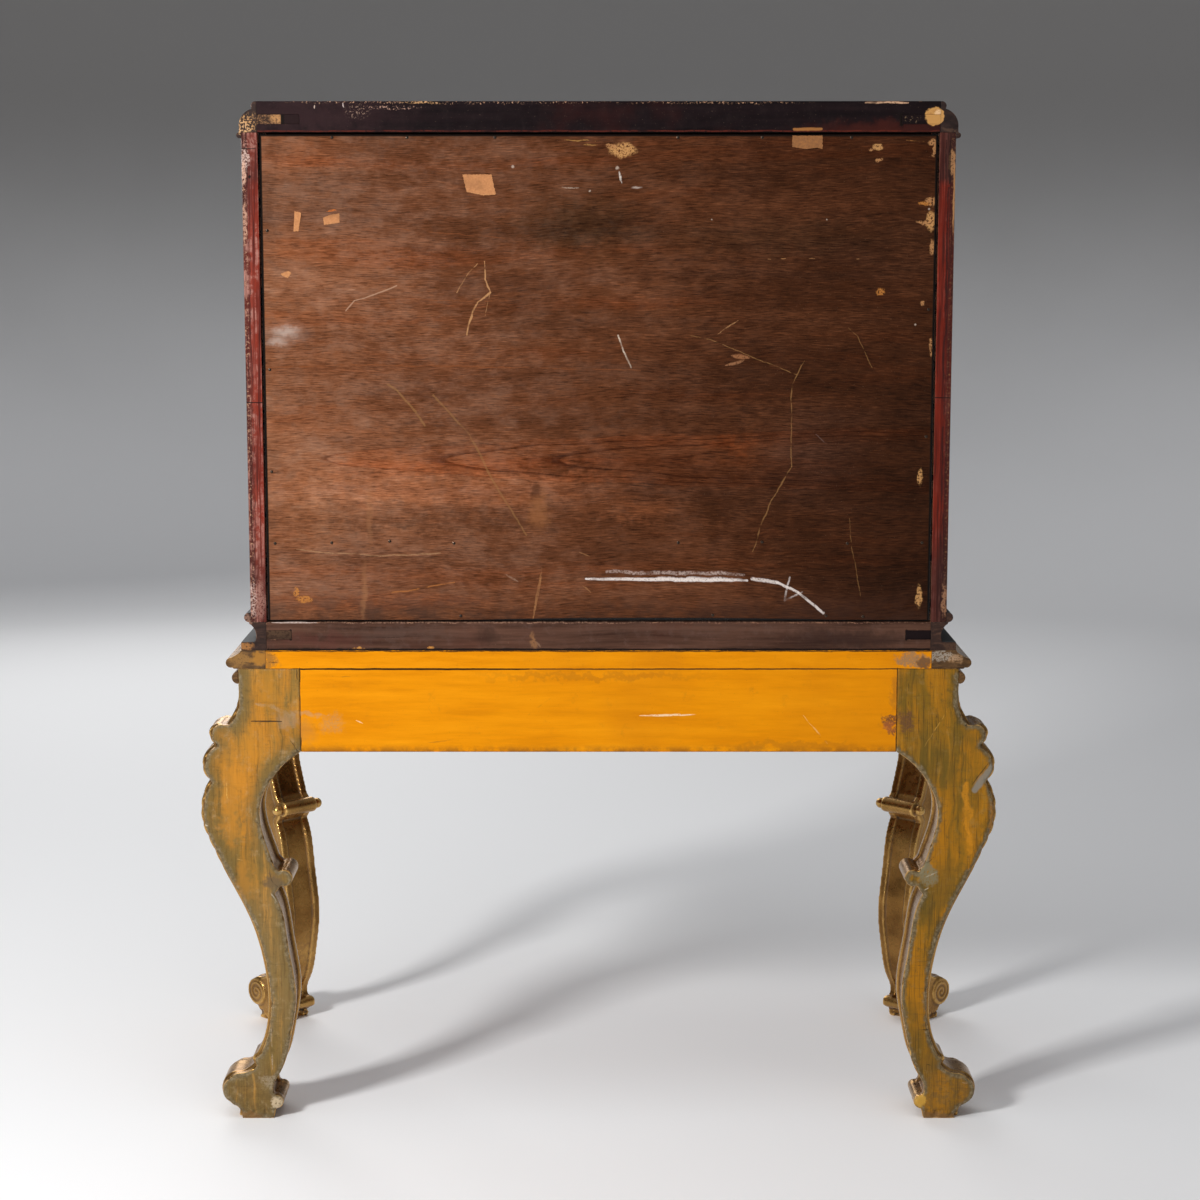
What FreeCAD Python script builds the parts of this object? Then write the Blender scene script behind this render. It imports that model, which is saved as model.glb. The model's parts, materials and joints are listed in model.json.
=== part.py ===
import FreeCAD, Part
import math
import os

# Cocktail cabinet: a lacquered case with two doors and two drawers on a carved stand.
# Millimetres, +Z up. The front faces -Y, and left and right are as seen from the front (+X is right).
# While it is drawn, the flat back lies in the plane y = 0. The finished pieces are then moved so that
# the origin is on the floor, midway between the back and the front knees.

# Case
CASE_WIDTH = 1000.0
CASE_DEPTH = 469.0
SIDE_HEIGHT = 693.0
SIDE_THICKNESS = 34.0
BASE_FRAME_HEIGHT = 41.0
TOP_FRAME_HEIGHT = 43.0
FRAME_CORE = 22.0
BACK_RAIL_DEPTH = 34.0
TOP_BOARD_THICKNESS = 20.0
BASE_BOARD_THICKNESS = 14.0
BACK_PANEL_THICKNESS = 8.0
BACK_PANEL_RECESS = 2.0
BACK_PANEL_GAP = 3.0
BACK_REBATE_WIDTH = 11.0
BACK_LEDGE_HEIGHT = 15.0
CORNICE_LIP = 8.0
HOUSING_DEPTH = 8.0
SHELF_THICKNESS = 18.0
SHELF_SETBACK = 50.0
DECK_THICKNESS = 16.0
FRONT_RAIL_HEIGHT = 24.0
DIVIDER_THICKNESS = 20.0
KEY_HEIGHT = 13.0
KEY_DEPTH = 18.0
TOP_KEY_LENGTH = 54.0
BASE_KEY_LENGTH = 36.0
KEY_SLOT_SPARE = 6.0
TOP_KEY_RISE = 18.0
BASE_KEY_RISE = 22.5
CUT_SPARE = 1.0

# Cornice and base moulding, each distance out from the side's face or down from the top
CORNICE_FLAT = 1.0
CORNICE_ROUND_INSET = 16.2
CORNICE_ROUND_DROP = 2.0
CORNICE_TOP_INSET = 14.2
CORNICE_TOP_DROP = 6.5
CORNICE_QUIRK_INSET = 15.3
CORNICE_QUIRK_DROP = 10.5
CORNICE_OVOLO_INSET = 1.6
CORNICE_OVOLO_DROP = 20.0
CORNICE_OVOLO_PROUD = 2.7
CORNICE_FILLET = 5.5
CORNICE_BEAD_START = 3.2
CORNICE_BEAD_PROUD = 6.7
PLINTH_PROUD = 14.5
PLINTH_HEIGHT = 12.0
PLINTH_SLOPE = 0.5
SCOTIA_START_INSET = 5.5
SCOTIA_INSET = 7.0
BASE_FILLET_PROUD = 2.5
BASE_FILLET_HEIGHT = 2.0

# Compartments
DRAWER_OPENING_HEIGHT = 96.0
GLASS_SPACE_HEIGHT = 184.0

# Doors and their brass
DOOR_THICKNESS = 22.0
DOOR_GAP = 1.5
MEETING_GAP = 2.0
DOOR_EDGE_RADIUS = 2.0
HINGE_HEIGHT = 64.0
HINGE_INSET = 60.0
HINGE_LEAF_WIDTH = 18.0
HINGE_LEAF_THICKNESS = 2.0
HINGE_LEAF_GAP = 0.2
HINGE_KNUCKLES = 5
KNUCKLE_RADIUS = 4.5
KNUCKLE_GAP = 0.4
KNUCKLE_PROUD = 0.5
HINGE_PIN_RADIUS = 2.0
HINGE_PIN_PLAY = 0.05
FINIAL_RADIUS = 4.0

# Lock and key, on the right-hand door
LOCK_HEIGHT = 250.0
LOCK_BACKSET = 34.0
LOCK_CASE_WIDTH = 70.0
LOCK_CASE_ABOVE = 18.0
LOCK_CASE_BELOW = 30.0
LOCK_CASE_DEPTH = 16.0
LOCK_CASE_WALL = 2.0
LOCK_CASE_INSET = 3.0
KEY_SHANK_RADIUS = 2.8
KEY_BIT_REACH = 9.0
KEY_BIT_THICKNESS = 3.0
KEY_BIT_LENGTH = 7.0
KEY_STANDOFF = 24.0
KEY_BOW_RADIUS = 13.0
KEY_BOW_WIRE = 2.2
KEY_TURN = 90.0
KEY_COLLAR_STANDOFF = 6.0
KEY_COLLAR_RADIUS = 4.2
KEY_COLLAR_LENGTH = 2.8
KEYHOLE_RADIUS = 4.2
KEYHOLE_SLOT_WIDTH = 4.5
KEYHOLE_DROP = 11.0
LOCK_BOLT_THICKNESS = 8.0
LOCK_BOLT_HEIGHT = 12.0
LOCK_BOLT_LENGTH = 52.0
LOCK_BOLT_CLEARANCE = 0.4
TALON_WIDTH = 7.8
TALON_DEPTH = 4.4
KEEPER_WIDTH = 14.0
KEEPER_THICKNESS = 2.5
KEEPER_FOOT = 10.0
KEEPER_CLEARANCE = 1.5
KEEPER_SETBACK = 2.0
ESCUTCHEON_THICKNESS = 1.5
ESCUTCHEON_HALF_WIDTH = 15.0
ESCUTCHEON_HALF_HEIGHT = 26.0
ESCUTCHEON_DROP = 3.7

# Bolts on the back of the left-hand door
DOOR_BOLT_WIDTH = 8.0
DOOR_BOLT_THICKNESS = 6.0
DOOR_BOLT_LENGTH = 130.0
DOOR_BOLT_SETBACK = 24.0
DOOR_BOLT_KNOB_RADIUS = 5.0
DOOR_BOLT_KNOB_LENGTH = 10.0
DOOR_BOLT_CLEARANCE = 0.3
BOLT_PLATE_WIDTH = 28.0
BOLT_PLATE_LENGTH = 110.0
BOLT_PLATE_THICKNESS = 1.5
BOLT_STRAP_WIDTH = 12.0
BOLT_STRAP_THICKNESS = 2.0

# Drawers
DRAWER_GAP = 1.5
DRAWER_REAR_GAP = 20.0
DRAWER_RUNNING_GAP = 0.3
DRAWER_FRONT_THICKNESS = 20.0
DRAWER_SIDE_THICKNESS = 12.0
DRAWER_SIDE_HEIGHT = 80.0
DRAWER_BOTTOM_THICKNESS = 6.0
DRAWER_BOTTOM_RAISE = 8.0
DRAWER_GROOVE_DEPTH = 5.0
PULL_ROSE_RADIUS = 16.0
PULL_ROSE_CHAMFER = 1.0
PULL_ROSE_THICKNESS = 2.0
PULL_NECK_START = 5.0
PULL_NECK_RADIUS = 6.0
PULL_HEAD_RADIUS = 12.0
PULL_REACH = 30.0

# Stand
LEG_HEIGHT = 553.0
APRON_HEIGHT = 122.0
STAND_MOULDING_HEIGHT = 27.0
STAND_MOULDING_CORE = 40.0
STAND_NOSE_PROUD = 17.3
STAND_NOSE_START = 6.0
STAND_NOSE_CHAMFER = 2.0
STAND_NOSE_MIDDLE = 9.0
STAND_NOSE_END = 14.0
STAND_NOSE_HEIGHT = 15.0
STAND_SWEEP_PROUD = 3.0
STAND_SWEEP_HEIGHT = 20.0
STAND_TOP_INSET = 4.0
STAND_TOP_FILLET = 2.0
STAND_SIDE_MARGIN = 20.0
STAND_FRONT_MARGIN = 19.0
REAR_LEG_DEPTH = 76.0
REAR_BLOCK_WIDTH = 89.0
FRONT_POST = 60.0
FRONT_LEG_WIDTH = 64.0
FRONT_LEG_PROUD = 17.0
APRON_THICKNESS = 25.0
FRONT_APRON_DROP = 42.0
SIDE_APRON_DROP = 28.0
APRON_SHOULDER_SHARE = 0.72
APRON_WAIST_SHARE = 0.36
APRON_WAIST_DROP_SHARE = 0.62
TENON_LENGTH = 20.0
TENON_THICKNESS = 12.0
TENON_SHOULDER = 16.0
BEAD_RADIUS = 9.0
BEAD_BELOW_TOP = 13.0
CORNER_BLOCK_WIDTH = 50.0
CORNER_BLOCK_HEIGHT = 45.0
LEG_EDGE_WIDTH = 12.0
LEG_CHANNEL_DEPTH = 4.0
LEG_FACE_STEP = 5.0
VOLUTE_RADIUS = 12.5
VOLUTE_NECK_RADIUS = 7.0
VOLUTE_KNOB_RADIUS = 8.7
VOLUTE_OVERHANG = 17.0
TOE_ROLL_RADIUS = 22.0
HEEL_ROLL_RADIUS = 9.0
FOOT_ROLL_OVERHANG = 4.0

# The foot and the knee keep their size when LEG_HEIGHT changes, and the shin between them takes the change.
# Reaches and insets are measured from the apron's end, the foot's heights from the floor.
ANKLE_HEIGHT = 95.0
KNEE_DROP = 228.0
LEAF_RISE = 91.5
SHOULDER_RISE = 46.0
VOLUTE_INSET = 60.7
VOLUTE_DROP = 188.3
TOE_REACH = 13.5
TOE_ROLL_HEIGHT = 43.0
HEEL_INSET = 45.0
HEEL_ROLL_HEIGHT = 25.0
SOLE_INSET = 40.0

# Worked-out places
CASE_HALF = CASE_WIDTH / 2
INNER_HALF = CASE_HALF - SIDE_THICKNESS
CORE_HALF = CASE_HALF - FRAME_CORE
CASE_FRONT = -CASE_DEPTH
CORE_FRONT = CASE_FRONT + FRAME_CORE
DOOR_BACK = CASE_FRONT + DOOR_THICKNESS
APRON_TOP = LEG_HEIGHT + APRON_HEIGHT
STAND_TOP = APRON_TOP + STAND_MOULDING_HEIGHT
BASE_TOP = STAND_TOP + BASE_FRAME_HEIGHT
BASE_BOARD_TOP = BASE_TOP + BASE_BOARD_THICKNESS
DECK_BOTTOM = BASE_BOARD_TOP + DRAWER_OPENING_HEIGHT
DECK_TOP = DECK_BOTTOM + DECK_THICKNESS
FRONT_RAIL_TOP = DECK_BOTTOM + FRONT_RAIL_HEIGHT
SHELF_BOTTOM = DECK_TOP + GLASS_SPACE_HEIGHT
SHELF_TOP = SHELF_BOTTOM + SHELF_THICKNESS
SIDE_TOP = BASE_TOP + SIDE_HEIGHT
CASE_TOP = SIDE_TOP + TOP_FRAME_HEIGHT
PANEL_FACE = -BACK_PANEL_RECESS - BACK_PANEL_THICKNESS
STAND_HALF = CASE_HALF + STAND_SIDE_MARGIN
STAND_FRONT = CASE_FRONT - STAND_FRONT_MARGIN
DOOR_BOTTOM = FRONT_RAIL_TOP + DOOR_GAP
DOOR_TOP = SIDE_TOP - CORNICE_LIP - DOOR_GAP
DOOR_OUTER = INNER_HALF - DOOR_GAP
DOOR_INNER = MEETING_GAP / 2
HINGE_X = INNER_HALF - DOOR_GAP / 2
HINGE_Y = CASE_FRONT - KNUCKLE_PROUD - KNUCKLE_RADIUS
LOCK_Z = DOOR_BOTTOM + LOCK_HEIGHT
LOCK_X = DOOR_INNER + LOCK_BACKSET
LOCK_BOLT_TOP = LOCK_Z - KEY_BIT_REACH + TALON_DEPTH - LOCK_BOLT_CLEARANCE
LOCK_BOLT_Y = DOOR_BACK + (LOCK_CASE_DEPTH - LOCK_CASE_WALL) / 2
LOCK_BOLT_THROW = 2 * KEY_BIT_REACH * math.sin(math.radians(KEY_TURN / 2))
MIRROR_PLANE = FreeCAD.Vector(1, 0, 0)
ORIGIN = FreeCAD.Vector(0, 0, 0)


class Outline:
    """An outline in the XZ plane, drawn edge by edge and closed by its face."""

    def __init__(self, x, z):
        self.start = FreeCAD.Vector(x, 0, z)
        self.here = self.start
        self.edges = []

    def line(self, x, z):
        """Draw a straight edge to (x, z)."""
        end = FreeCAD.Vector(x, 0, z)
        self.edges.append(Part.LineSegment(self.here, end).toShape())
        self.here = end
        return self

    def arc(self, via, end):
        """Draw a round edge through via to end, each an (x, z) pair."""
        middle = FreeCAD.Vector(via[0], 0, via[1])
        last = FreeCAD.Vector(end[0], 0, end[1])
        self.edges.append(Part.Arc(self.here, middle, last).toShape())
        self.here = last
        return self

    def curve(self, *points):
        """Draw one smooth edge through all the (x, z) points."""
        vectors = [self.here] + [FreeCAD.Vector(x, 0, z) for x, z in points]
        spline = Part.BSplineCurve()
        spline.interpolate(vectors)
        self.edges.append(spline.toShape())
        self.here = vectors[-1]
        return self

    def face(self):
        """Close the outline and fill it."""
        if self.here.distanceToPoint(self.start) > 1e-6:
            self.line(self.start.x, self.start.z)
        return Part.Face(Part.Wire(self.edges))


def box(x_range, y_range, z_range):
    """Make a block between the given pairs of limits."""
    corner = FreeCAD.Vector(min(x_range), min(y_range), min(z_range))
    length = abs(x_range[1] - x_range[0])
    depth = abs(y_range[1] - y_range[0])
    height = abs(z_range[1] - z_range[0])
    return Part.makeBox(length, depth, height, corner)


def prism(points, z_range):
    """Make an upright prism over a list of (x, y) corners."""
    corners = [FreeCAD.Vector(x, y, z_range[0]) for x, y in points]
    wire = Part.makePolygon(corners + [corners[0]])
    return Part.Face(wire).extrude(FreeCAD.Vector(0, 0, z_range[1] - z_range[0]))


def rod(start, direction, radius, length):
    """Make a round bar from start along direction."""
    return Part.makeCylinder(radius, length, start, direction)


def mirrored(shape):
    """Give the shape's twin on the other side of the middle plane."""
    return shape.mirror(ORIGIN, MIRROR_PLANE)


def moved(shape, x=0.0, y=0.0, z=0.0):
    """Give a copy of the shape, shifted."""
    copy = shape.copy()
    copy.translate(FreeCAD.Vector(x, y, z))
    return copy


def turned_about_z(shape, degrees):
    """Give a copy of the shape, turned about the Z axis."""
    copy = shape.copy()
    copy.rotate(ORIGIN, FreeCAD.Vector(0, 0, 1), degrees)
    return copy


def fused(shapes):
    """Join touching shapes into one solid."""
    return shapes[0].multiFuse(shapes[1:]).removeSplitter().Solids[0]


def one_solid(shape):
    """Give the only solid of a cut or common result."""
    return shape.Solids[0]


def moulding_frame(profile, half_width, front, core):
    """Run a moulding along the front and both sides, mitred at the front corners.

    The profile's x is the distance out from the face at half_width or front, and it reaches
    back by core. The side lengths end flush with the back.
    """
    reach = max(profile.BoundBox.XMax, core) + CUT_SPARE
    low = profile.BoundBox.ZMin - CUT_SPARE
    high = profile.BoundBox.ZMax + CUT_SPARE
    outer = half_width + reach
    inner = half_width - reach
    front_zone = prism(
        [(-outer, front - reach), (outer, front - reach), (inner, front + reach), (-inner, front + reach)],
        (low, high),
    )
    side_zone = prism([(outer, front - reach), (outer, 0), (inner, 0), (inner, front + reach)], (low, high))
    side_run = moved(profile, x=half_width).extrude(FreeCAD.Vector(0, front - reach, 0))
    right = one_solid(side_run.common(side_zone))
    front_profile = moved(turned_about_z(profile, -90), x=-outer, y=front)
    front_run = front_profile.extrude(FreeCAD.Vector(2 * outer, 0, 0))
    return one_solid(front_run.common(front_zone)), mirrored(right), right


# Stand

def knee(x, below_apron):
    """Give a point of the leaf or the knee, its height measured down from the apron."""
    return x, LEG_HEIGHT - below_apron


def shin(x, share):
    """Give a point of the shin, a share of the way up from the ankle to the knee."""
    return x, ANKLE_HEIGHT + share * (LEG_HEIGHT - KNEE_DROP - ANKLE_HEIGHT)


def leg_outline(start, to_leaf):
    """Draw a leg from its block: leaf lobes, knee, shin, scroll foot, calf and C-scroll.

    x is the reach out from the apron's face. start and to_leaf are the block's own corners,
    from the inner end of the C-scroll round to the top of the leaf.
    """
    outline = Outline(*start)
    for corner in to_leaf:
        outline.line(*corner)
    outline.arc(knee(6.0, -63.0), knee(21.0, -38.0))
    outline.arc(knee(45.0, -30.0), knee(36.0, -9.0))
    outline.arc(knee(56.2, 16.0), knee(46.7, 44.5))
    outline.curve(
        knee(59.0, 77.0), knee(57.0, 112.0), knee(47.6, 136.0), knee(25.0, 184.0),
        shin(-8.0, 0.90), shin(-27.0, 0.613), shin(-33.0, 0.335), shin(-25.0, 0.104), shin(-14.0, 0.0),
    )
    outline.arc((-8.0, 88.0), (-11.0, 82.0))
    outline.curve((0.0, 72.5), (18.0, 68.5))
    outline.arc((38.0, 43.5), (18.7, 18.0))
    outline.line(TOE_REACH, 9.0)
    outline.line(TOE_REACH, 0.0)
    outline.line(-SOLE_INSET, 0.0)
    outline.line(-43.0, 15.0)
    outline.arc((-54.0, 25.0), (-42.0, 35.0))
    outline.curve(
        (-39.0, 46.0), (-50.0, 70.0), shin(-66.0, 0.122), shin(-75.0, 0.378), shin(-65.0, 0.730),
        knee(-53.5, KNEE_DROP), knee(-46.0, 212.0),
    )
    outline.arc(knee(-56.0, 191.0), knee(-46.5, 171.0))
    outline.curve(
        knee(-35.5, 138.0), knee(-27.0, 100.0), knee(-30.0, 71.0),
        knee(-41.0, 48.0), knee(-57.0, 26.0), start,
    )
    return outline.face()


def across(face, from_y, to_y):
    """Give a face in the XZ plane thickness between two places across the leg."""
    return moved(face, y=from_y).extrude(FreeCAD.Vector(0, to_y - from_y, 0))


def carved_leg(face, back, front):
    """Saw the leg out between back and front, sink its inner face and step its outer edges."""
    sunk = face.common(moved(face, x=LEG_CHANNEL_DEPTH)).Faces[0]
    stepped = face.common(moved(face, x=-LEG_FACE_STEP)).Faces[0]
    return [
        across(stepped, back, back - LEG_EDGE_WIDTH),
        across(sunk, back - LEG_EDGE_WIDTH, front + LEG_EDGE_WIDTH),
        across(stepped, front + LEG_EDGE_WIDTH, front),
    ]


def turned_end(radius_steps):
    """Revolve (radius, distance) steps about the Y axis, with distance along -Y."""
    outline = Outline(0.0, radius_steps[0][1])
    for radius, distance in radius_steps:
        outline.line(radius, distance)
    outline.line(0.0, radius_steps[-1][1])
    solid = outline.face().revolve(ORIGIN, FreeCAD.Vector(0, 0, 1), 360)
    solid.rotate(ORIGIN, FreeCAD.Vector(1, 0, 0), 90)
    return solid


def volute(back, front, flush_back):
    """Turn the roll that ends the C-scroll, with a knob outside each carved face of the leg."""
    x, z = knee(-VOLUTE_INSET, VOLUTE_DROP)
    forwards = FreeCAD.Vector(0, -1, 0)
    neck = VOLUTE_OVERHANG - VOLUTE_KNOB_RADIUS
    pieces = [
        rod(FreeCAD.Vector(x, back, z), forwards, VOLUTE_RADIUS, back - front),
        rod(FreeCAD.Vector(x, front, z), forwards, VOLUTE_NECK_RADIUS, neck),
        Part.makeSphere(VOLUTE_KNOB_RADIUS, FreeCAD.Vector(x, front - neck, z)),
    ]
    if not flush_back:
        pieces.append(rod(FreeCAD.Vector(x, back + neck, z), forwards, VOLUTE_NECK_RADIUS, neck))
        pieces.append(Part.makeSphere(VOLUTE_KNOB_RADIUS, FreeCAD.Vector(x, back + neck, z)))
    return pieces


def foot_rolls(back, front, flush_back):
    """Make the toe and heel rolls, a little wider than the leg on its carved faces."""
    start = back if flush_back else back + FOOT_ROLL_OVERHANG
    length = start - front + FOOT_ROLL_OVERHANG
    forwards = FreeCAD.Vector(0, -1, 0)
    toe = FreeCAD.Vector(TOE_REACH, start, TOE_ROLL_HEIGHT)
    heel = FreeCAD.Vector(-HEEL_INSET, start, HEEL_ROLL_HEIGHT)
    return [rod(toe, forwards, TOE_ROLL_RADIUS, length), rod(heel, forwards, HEEL_ROLL_RADIUS, length)]


def tenon(x_range, y_range):
    """Make an apron's tenon over a plan rectangle, between its shoulders."""
    return box(x_range, y_range, (LEG_HEIGHT + TENON_SHOULDER, APRON_TOP - TENON_SHOULDER))


def side_tenons():
    """Make the right side apron's tenons, into the rear leg and into the front post."""
    outer = STAND_HALF - (APRON_THICKNESS - TENON_THICKNESS) / 2
    across_apron = (outer - TENON_THICKNESS, outer)
    post_back = STAND_FRONT + FRONT_POST
    rear = tenon(across_apron, (-REAR_LEG_DEPTH + TENON_LENGTH, -REAR_LEG_DEPTH))
    return rear, tenon(across_apron, (post_back, post_back - TENON_LENGTH))


def rear_apron_tenon():
    """Make the rear apron's right-hand tenon."""
    inner = STAND_HALF - REAR_BLOCK_WIDTH
    back = -(APRON_THICKNESS - TENON_THICKNESS) / 2
    return tenon((inner, inner + TENON_LENGTH), (back, back - TENON_THICKNESS))


def front_apron_tenon():
    """Make the front apron's right-hand tenon."""
    inner = STAND_HALF - FRONT_POST
    face = STAND_FRONT + (APRON_THICKNESS - TENON_THICKNESS) / 2
    return tenon((inner, inner + TENON_LENGTH), (face, face + TENON_THICKNESS))


def rear_leg():
    """Make the right rear leg: a plank with a flat back, its block mortised for two aprons."""
    block_inner = -REAR_BLOCK_WIDTH
    face = leg_outline(
        (block_inner, LEG_HEIGHT),
        [(block_inner, APRON_TOP), (0.0, APRON_TOP), (0.0, LEG_HEIGHT + LEAF_RISE)],
    )
    back, front = 0.0, -REAR_LEG_DEPTH
    pieces = carved_leg(face, back, front) + volute(back, front, True) + foot_rolls(back, front, True)
    pieces.append(box((block_inner, 0.0), (back, front), (LEG_HEIGHT, APRON_TOP)))
    leg = moved(fused(pieces), x=STAND_HALF)
    return one_solid(leg.cut([rear_apron_tenon(), side_tenons()[0]]))


def front_leg():
    """Make the right front leg: a square post whose cabriole leg stands on the diagonal."""
    corner = -FRONT_LEG_PROUD * math.sqrt(2)
    shoulder = LEG_HEIGHT + SHOULDER_RISE
    inside_post = corner - FRONT_POST / 2
    face = leg_outline(
        (-REAR_BLOCK_WIDTH, LEG_HEIGHT),
        [(inside_post, LEG_HEIGHT), (inside_post, shoulder), (corner, shoulder)],
    )
    back, front = FRONT_LEG_WIDTH / 2, -FRONT_LEG_WIDTH / 2
    pieces = carved_leg(face, back, front) + volute(back, front, False) + foot_rolls(back, front, False)
    diagonal = turned_about_z(fused(pieces), -45)
    diagonal = moved(diagonal, x=STAND_HALF + FRONT_LEG_PROUD, y=STAND_FRONT - FRONT_LEG_PROUD)
    post = box(
        (STAND_HALF - FRONT_POST, STAND_HALF),
        (STAND_FRONT, STAND_FRONT + FRONT_POST),
        (LEG_HEIGHT, APRON_TOP),
    )
    return one_solid(fused([diagonal, post]).cut([front_apron_tenon(), side_tenons()[1]]))


def apron_board(half_length, drop):
    """Make an apron's face, with a lower edge that bows down in the middle by drop."""
    shoulder = APRON_SHOULDER_SHARE * half_length
    waist = APRON_WAIST_SHARE * half_length
    waist_height = LEG_HEIGHT - APRON_WAIST_DROP_SHARE * drop
    outline = Outline(-half_length, APRON_TOP).line(half_length, APRON_TOP).line(half_length, LEG_HEIGHT)
    outline.line(shoulder, LEG_HEIGHT)
    outline.curve(
        (waist, waist_height), (0.0, LEG_HEIGHT - drop), (-waist, waist_height), (-shoulder, LEG_HEIGHT),
    )
    outline.line(-half_length, LEG_HEIGHT)
    return outline.face()


def stand_aprons():
    """Make the four aprons with their tenons."""
    rear_half = STAND_HALF - REAR_BLOCK_WIDTH
    rear_tenon = rear_apron_tenon()
    rear_board = box((-rear_half, rear_half), (0, -APRON_THICKNESS), (LEG_HEIGHT, APRON_TOP))
    front_half = STAND_HALF - FRONT_POST
    front_face = apron_board(front_half, FRONT_APRON_DROP)
    front_board = across(front_face, STAND_FRONT + APRON_THICKNESS, STAND_FRONT)
    front_tenon = front_apron_tenon()
    side_back = -REAR_LEG_DEPTH
    side_front = STAND_FRONT + FRONT_POST
    side_face = turned_about_z(apron_board((side_back - side_front) / 2, SIDE_APRON_DROP), 90)
    side_board = moved(side_face, x=STAND_HALF, y=(side_back + side_front) / 2)
    side_board = side_board.extrude(FreeCAD.Vector(-APRON_THICKNESS, 0, 0))
    side = fused([side_board, *side_tenons()])
    return {
        "rear_apron": fused([rear_board, rear_tenon, mirrored(rear_tenon)]),
        "front_apron": fused([front_board, front_tenon, mirrored(front_tenon)]),
        "side_apron_left": mirrored(side),
        "side_apron_right": side,
    }


def stand_moulding_profile():
    """Draw the stand's top moulding: a hollow sweep over a rounded nose."""
    low, high = APRON_TOP, STAND_TOP
    outline = Outline(-STAND_MOULDING_CORE, low).line(STAND_NOSE_START, low)
    outline.line(STAND_NOSE_START + STAND_NOSE_CHAMFER, low + STAND_NOSE_CHAMFER)
    outline.arc((STAND_NOSE_PROUD, low + STAND_NOSE_MIDDLE), (STAND_NOSE_END, low + STAND_NOSE_HEIGHT))
    outline.arc((STAND_SWEEP_PROUD, low + STAND_SWEEP_HEIGHT), (-STAND_TOP_INSET, high - STAND_TOP_FILLET))
    outline.line(-STAND_TOP_INSET, high).line(-STAND_MOULDING_CORE, high)
    return outline.face()


def bead_profile():
    """Draw the half-round bead under the stand's top moulding."""
    middle = APRON_TOP - BEAD_BELOW_TOP
    outline = Outline(0.0, middle - BEAD_RADIUS)
    return outline.arc((BEAD_RADIUS, middle), (0.0, middle + BEAD_RADIUS)).face()


def corner_block(x, y, depth, towards_front):
    """Make a three-cornered glue block in the corner at (x, y), under the stand's top."""
    reach = -depth if towards_front else depth
    corners = [(x, y), (x - CORNER_BLOCK_WIDTH, y), (x, y + reach)]
    return prism(corners, (APRON_TOP - CORNER_BLOCK_HEIGHT, APRON_TOP))


def stand():
    """Make the stand's pieces."""
    right_rear = rear_leg()
    right_front = front_leg()
    front, left, right = moulding_frame(
        stand_moulding_profile(), STAND_HALF, STAND_FRONT, STAND_MOULDING_CORE
    )
    bead_front, bead_left, bead_right = moulding_frame(bead_profile(), STAND_HALF, STAND_FRONT, BEAD_RADIUS)
    strip_half = STAND_HALF - STAND_MOULDING_CORE
    rear_block = corner_block(
        STAND_HALF - REAR_BLOCK_WIDTH, -APRON_THICKNESS, REAR_LEG_DEPTH - APRON_THICKNESS, True
    )
    front_block = corner_block(
        STAND_HALF - FRONT_POST, STAND_FRONT + APRON_THICKNESS, FRONT_POST - APRON_THICKNESS, False
    )
    pieces = {
        "rear_leg_left": mirrored(right_rear),
        "rear_leg_right": right_rear,
        "front_leg_left": mirrored(right_front),
        "front_leg_right": right_front,
        "stand_moulding_front": front,
        "stand_moulding_left": left,
        "stand_moulding_right": right,
        "stand_rear_strip": box((-strip_half, strip_half), (0, -STAND_MOULDING_CORE), (APRON_TOP, STAND_TOP)),
        "apron_bead_front": bead_front,
        "apron_bead_left": bead_left,
        "apron_bead_right": bead_right,
        "stand_corner_blocks": Part.makeCompound(
            [rear_block, mirrored(rear_block), front_block, mirrored(front_block)]
        ),
    }
    pieces.update(stand_aprons())
    return pieces


# Case

def cornice_profile():
    """Draw the cornice: rounded top, ovolo and bead, lapping over the top of the side."""
    low = SIDE_TOP - CORNICE_LIP
    outline = Outline(-FRAME_CORE, SIDE_TOP).line(-FRAME_CORE, CASE_TOP)
    outline.line(-FRAME_CORE + CORNICE_FLAT, CASE_TOP)
    outline.arc(
        (-CORNICE_ROUND_INSET, CASE_TOP - CORNICE_ROUND_DROP),
        (-CORNICE_TOP_INSET, CASE_TOP - CORNICE_TOP_DROP),
    )
    outline.line(-CORNICE_QUIRK_INSET, CASE_TOP - CORNICE_QUIRK_DROP)
    outline.arc(
        (-CORNICE_OVOLO_INSET, CASE_TOP - CORNICE_OVOLO_DROP),
        (CORNICE_OVOLO_PROUD, SIDE_TOP + CORNICE_FILLET),
    )
    outline.line(CORNICE_BEAD_START, SIDE_TOP)
    outline.arc((CORNICE_BEAD_PROUD, SIDE_TOP - CORNICE_LIP / 2), (CORNICE_BEAD_START, low))
    outline.line(0.0, low).line(0.0, SIDE_TOP)
    return outline.face()


def base_profile():
    """Draw the base: plinth fillet, scotia and an astragal that laps over the foot of the side."""
    low, high = STAND_TOP, BASE_BOARD_TOP
    plinth_top = low + PLINTH_HEIGHT
    scotia_low = plinth_top + PLINTH_SLOPE
    scotia_high = BASE_TOP - BASE_FILLET_HEIGHT
    astragal = (high - BASE_TOP) / 2
    outline = Outline(-FRAME_CORE, low).line(PLINTH_PROUD, low).line(PLINTH_PROUD, plinth_top)
    outline.line(-SCOTIA_START_INSET, scotia_low)
    outline.arc((-SCOTIA_INSET, (scotia_low + scotia_high) / 2), (BASE_FILLET_PROUD, scotia_high))
    outline.line(BASE_FILLET_PROUD, BASE_TOP)
    outline.arc((BASE_FILLET_PROUD + astragal, BASE_TOP + astragal), (BASE_FILLET_PROUD, high))
    outline.line(0.0, high).line(0.0, BASE_TOP).line(-FRAME_CORE, BASE_TOP)
    return outline.face()


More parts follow.
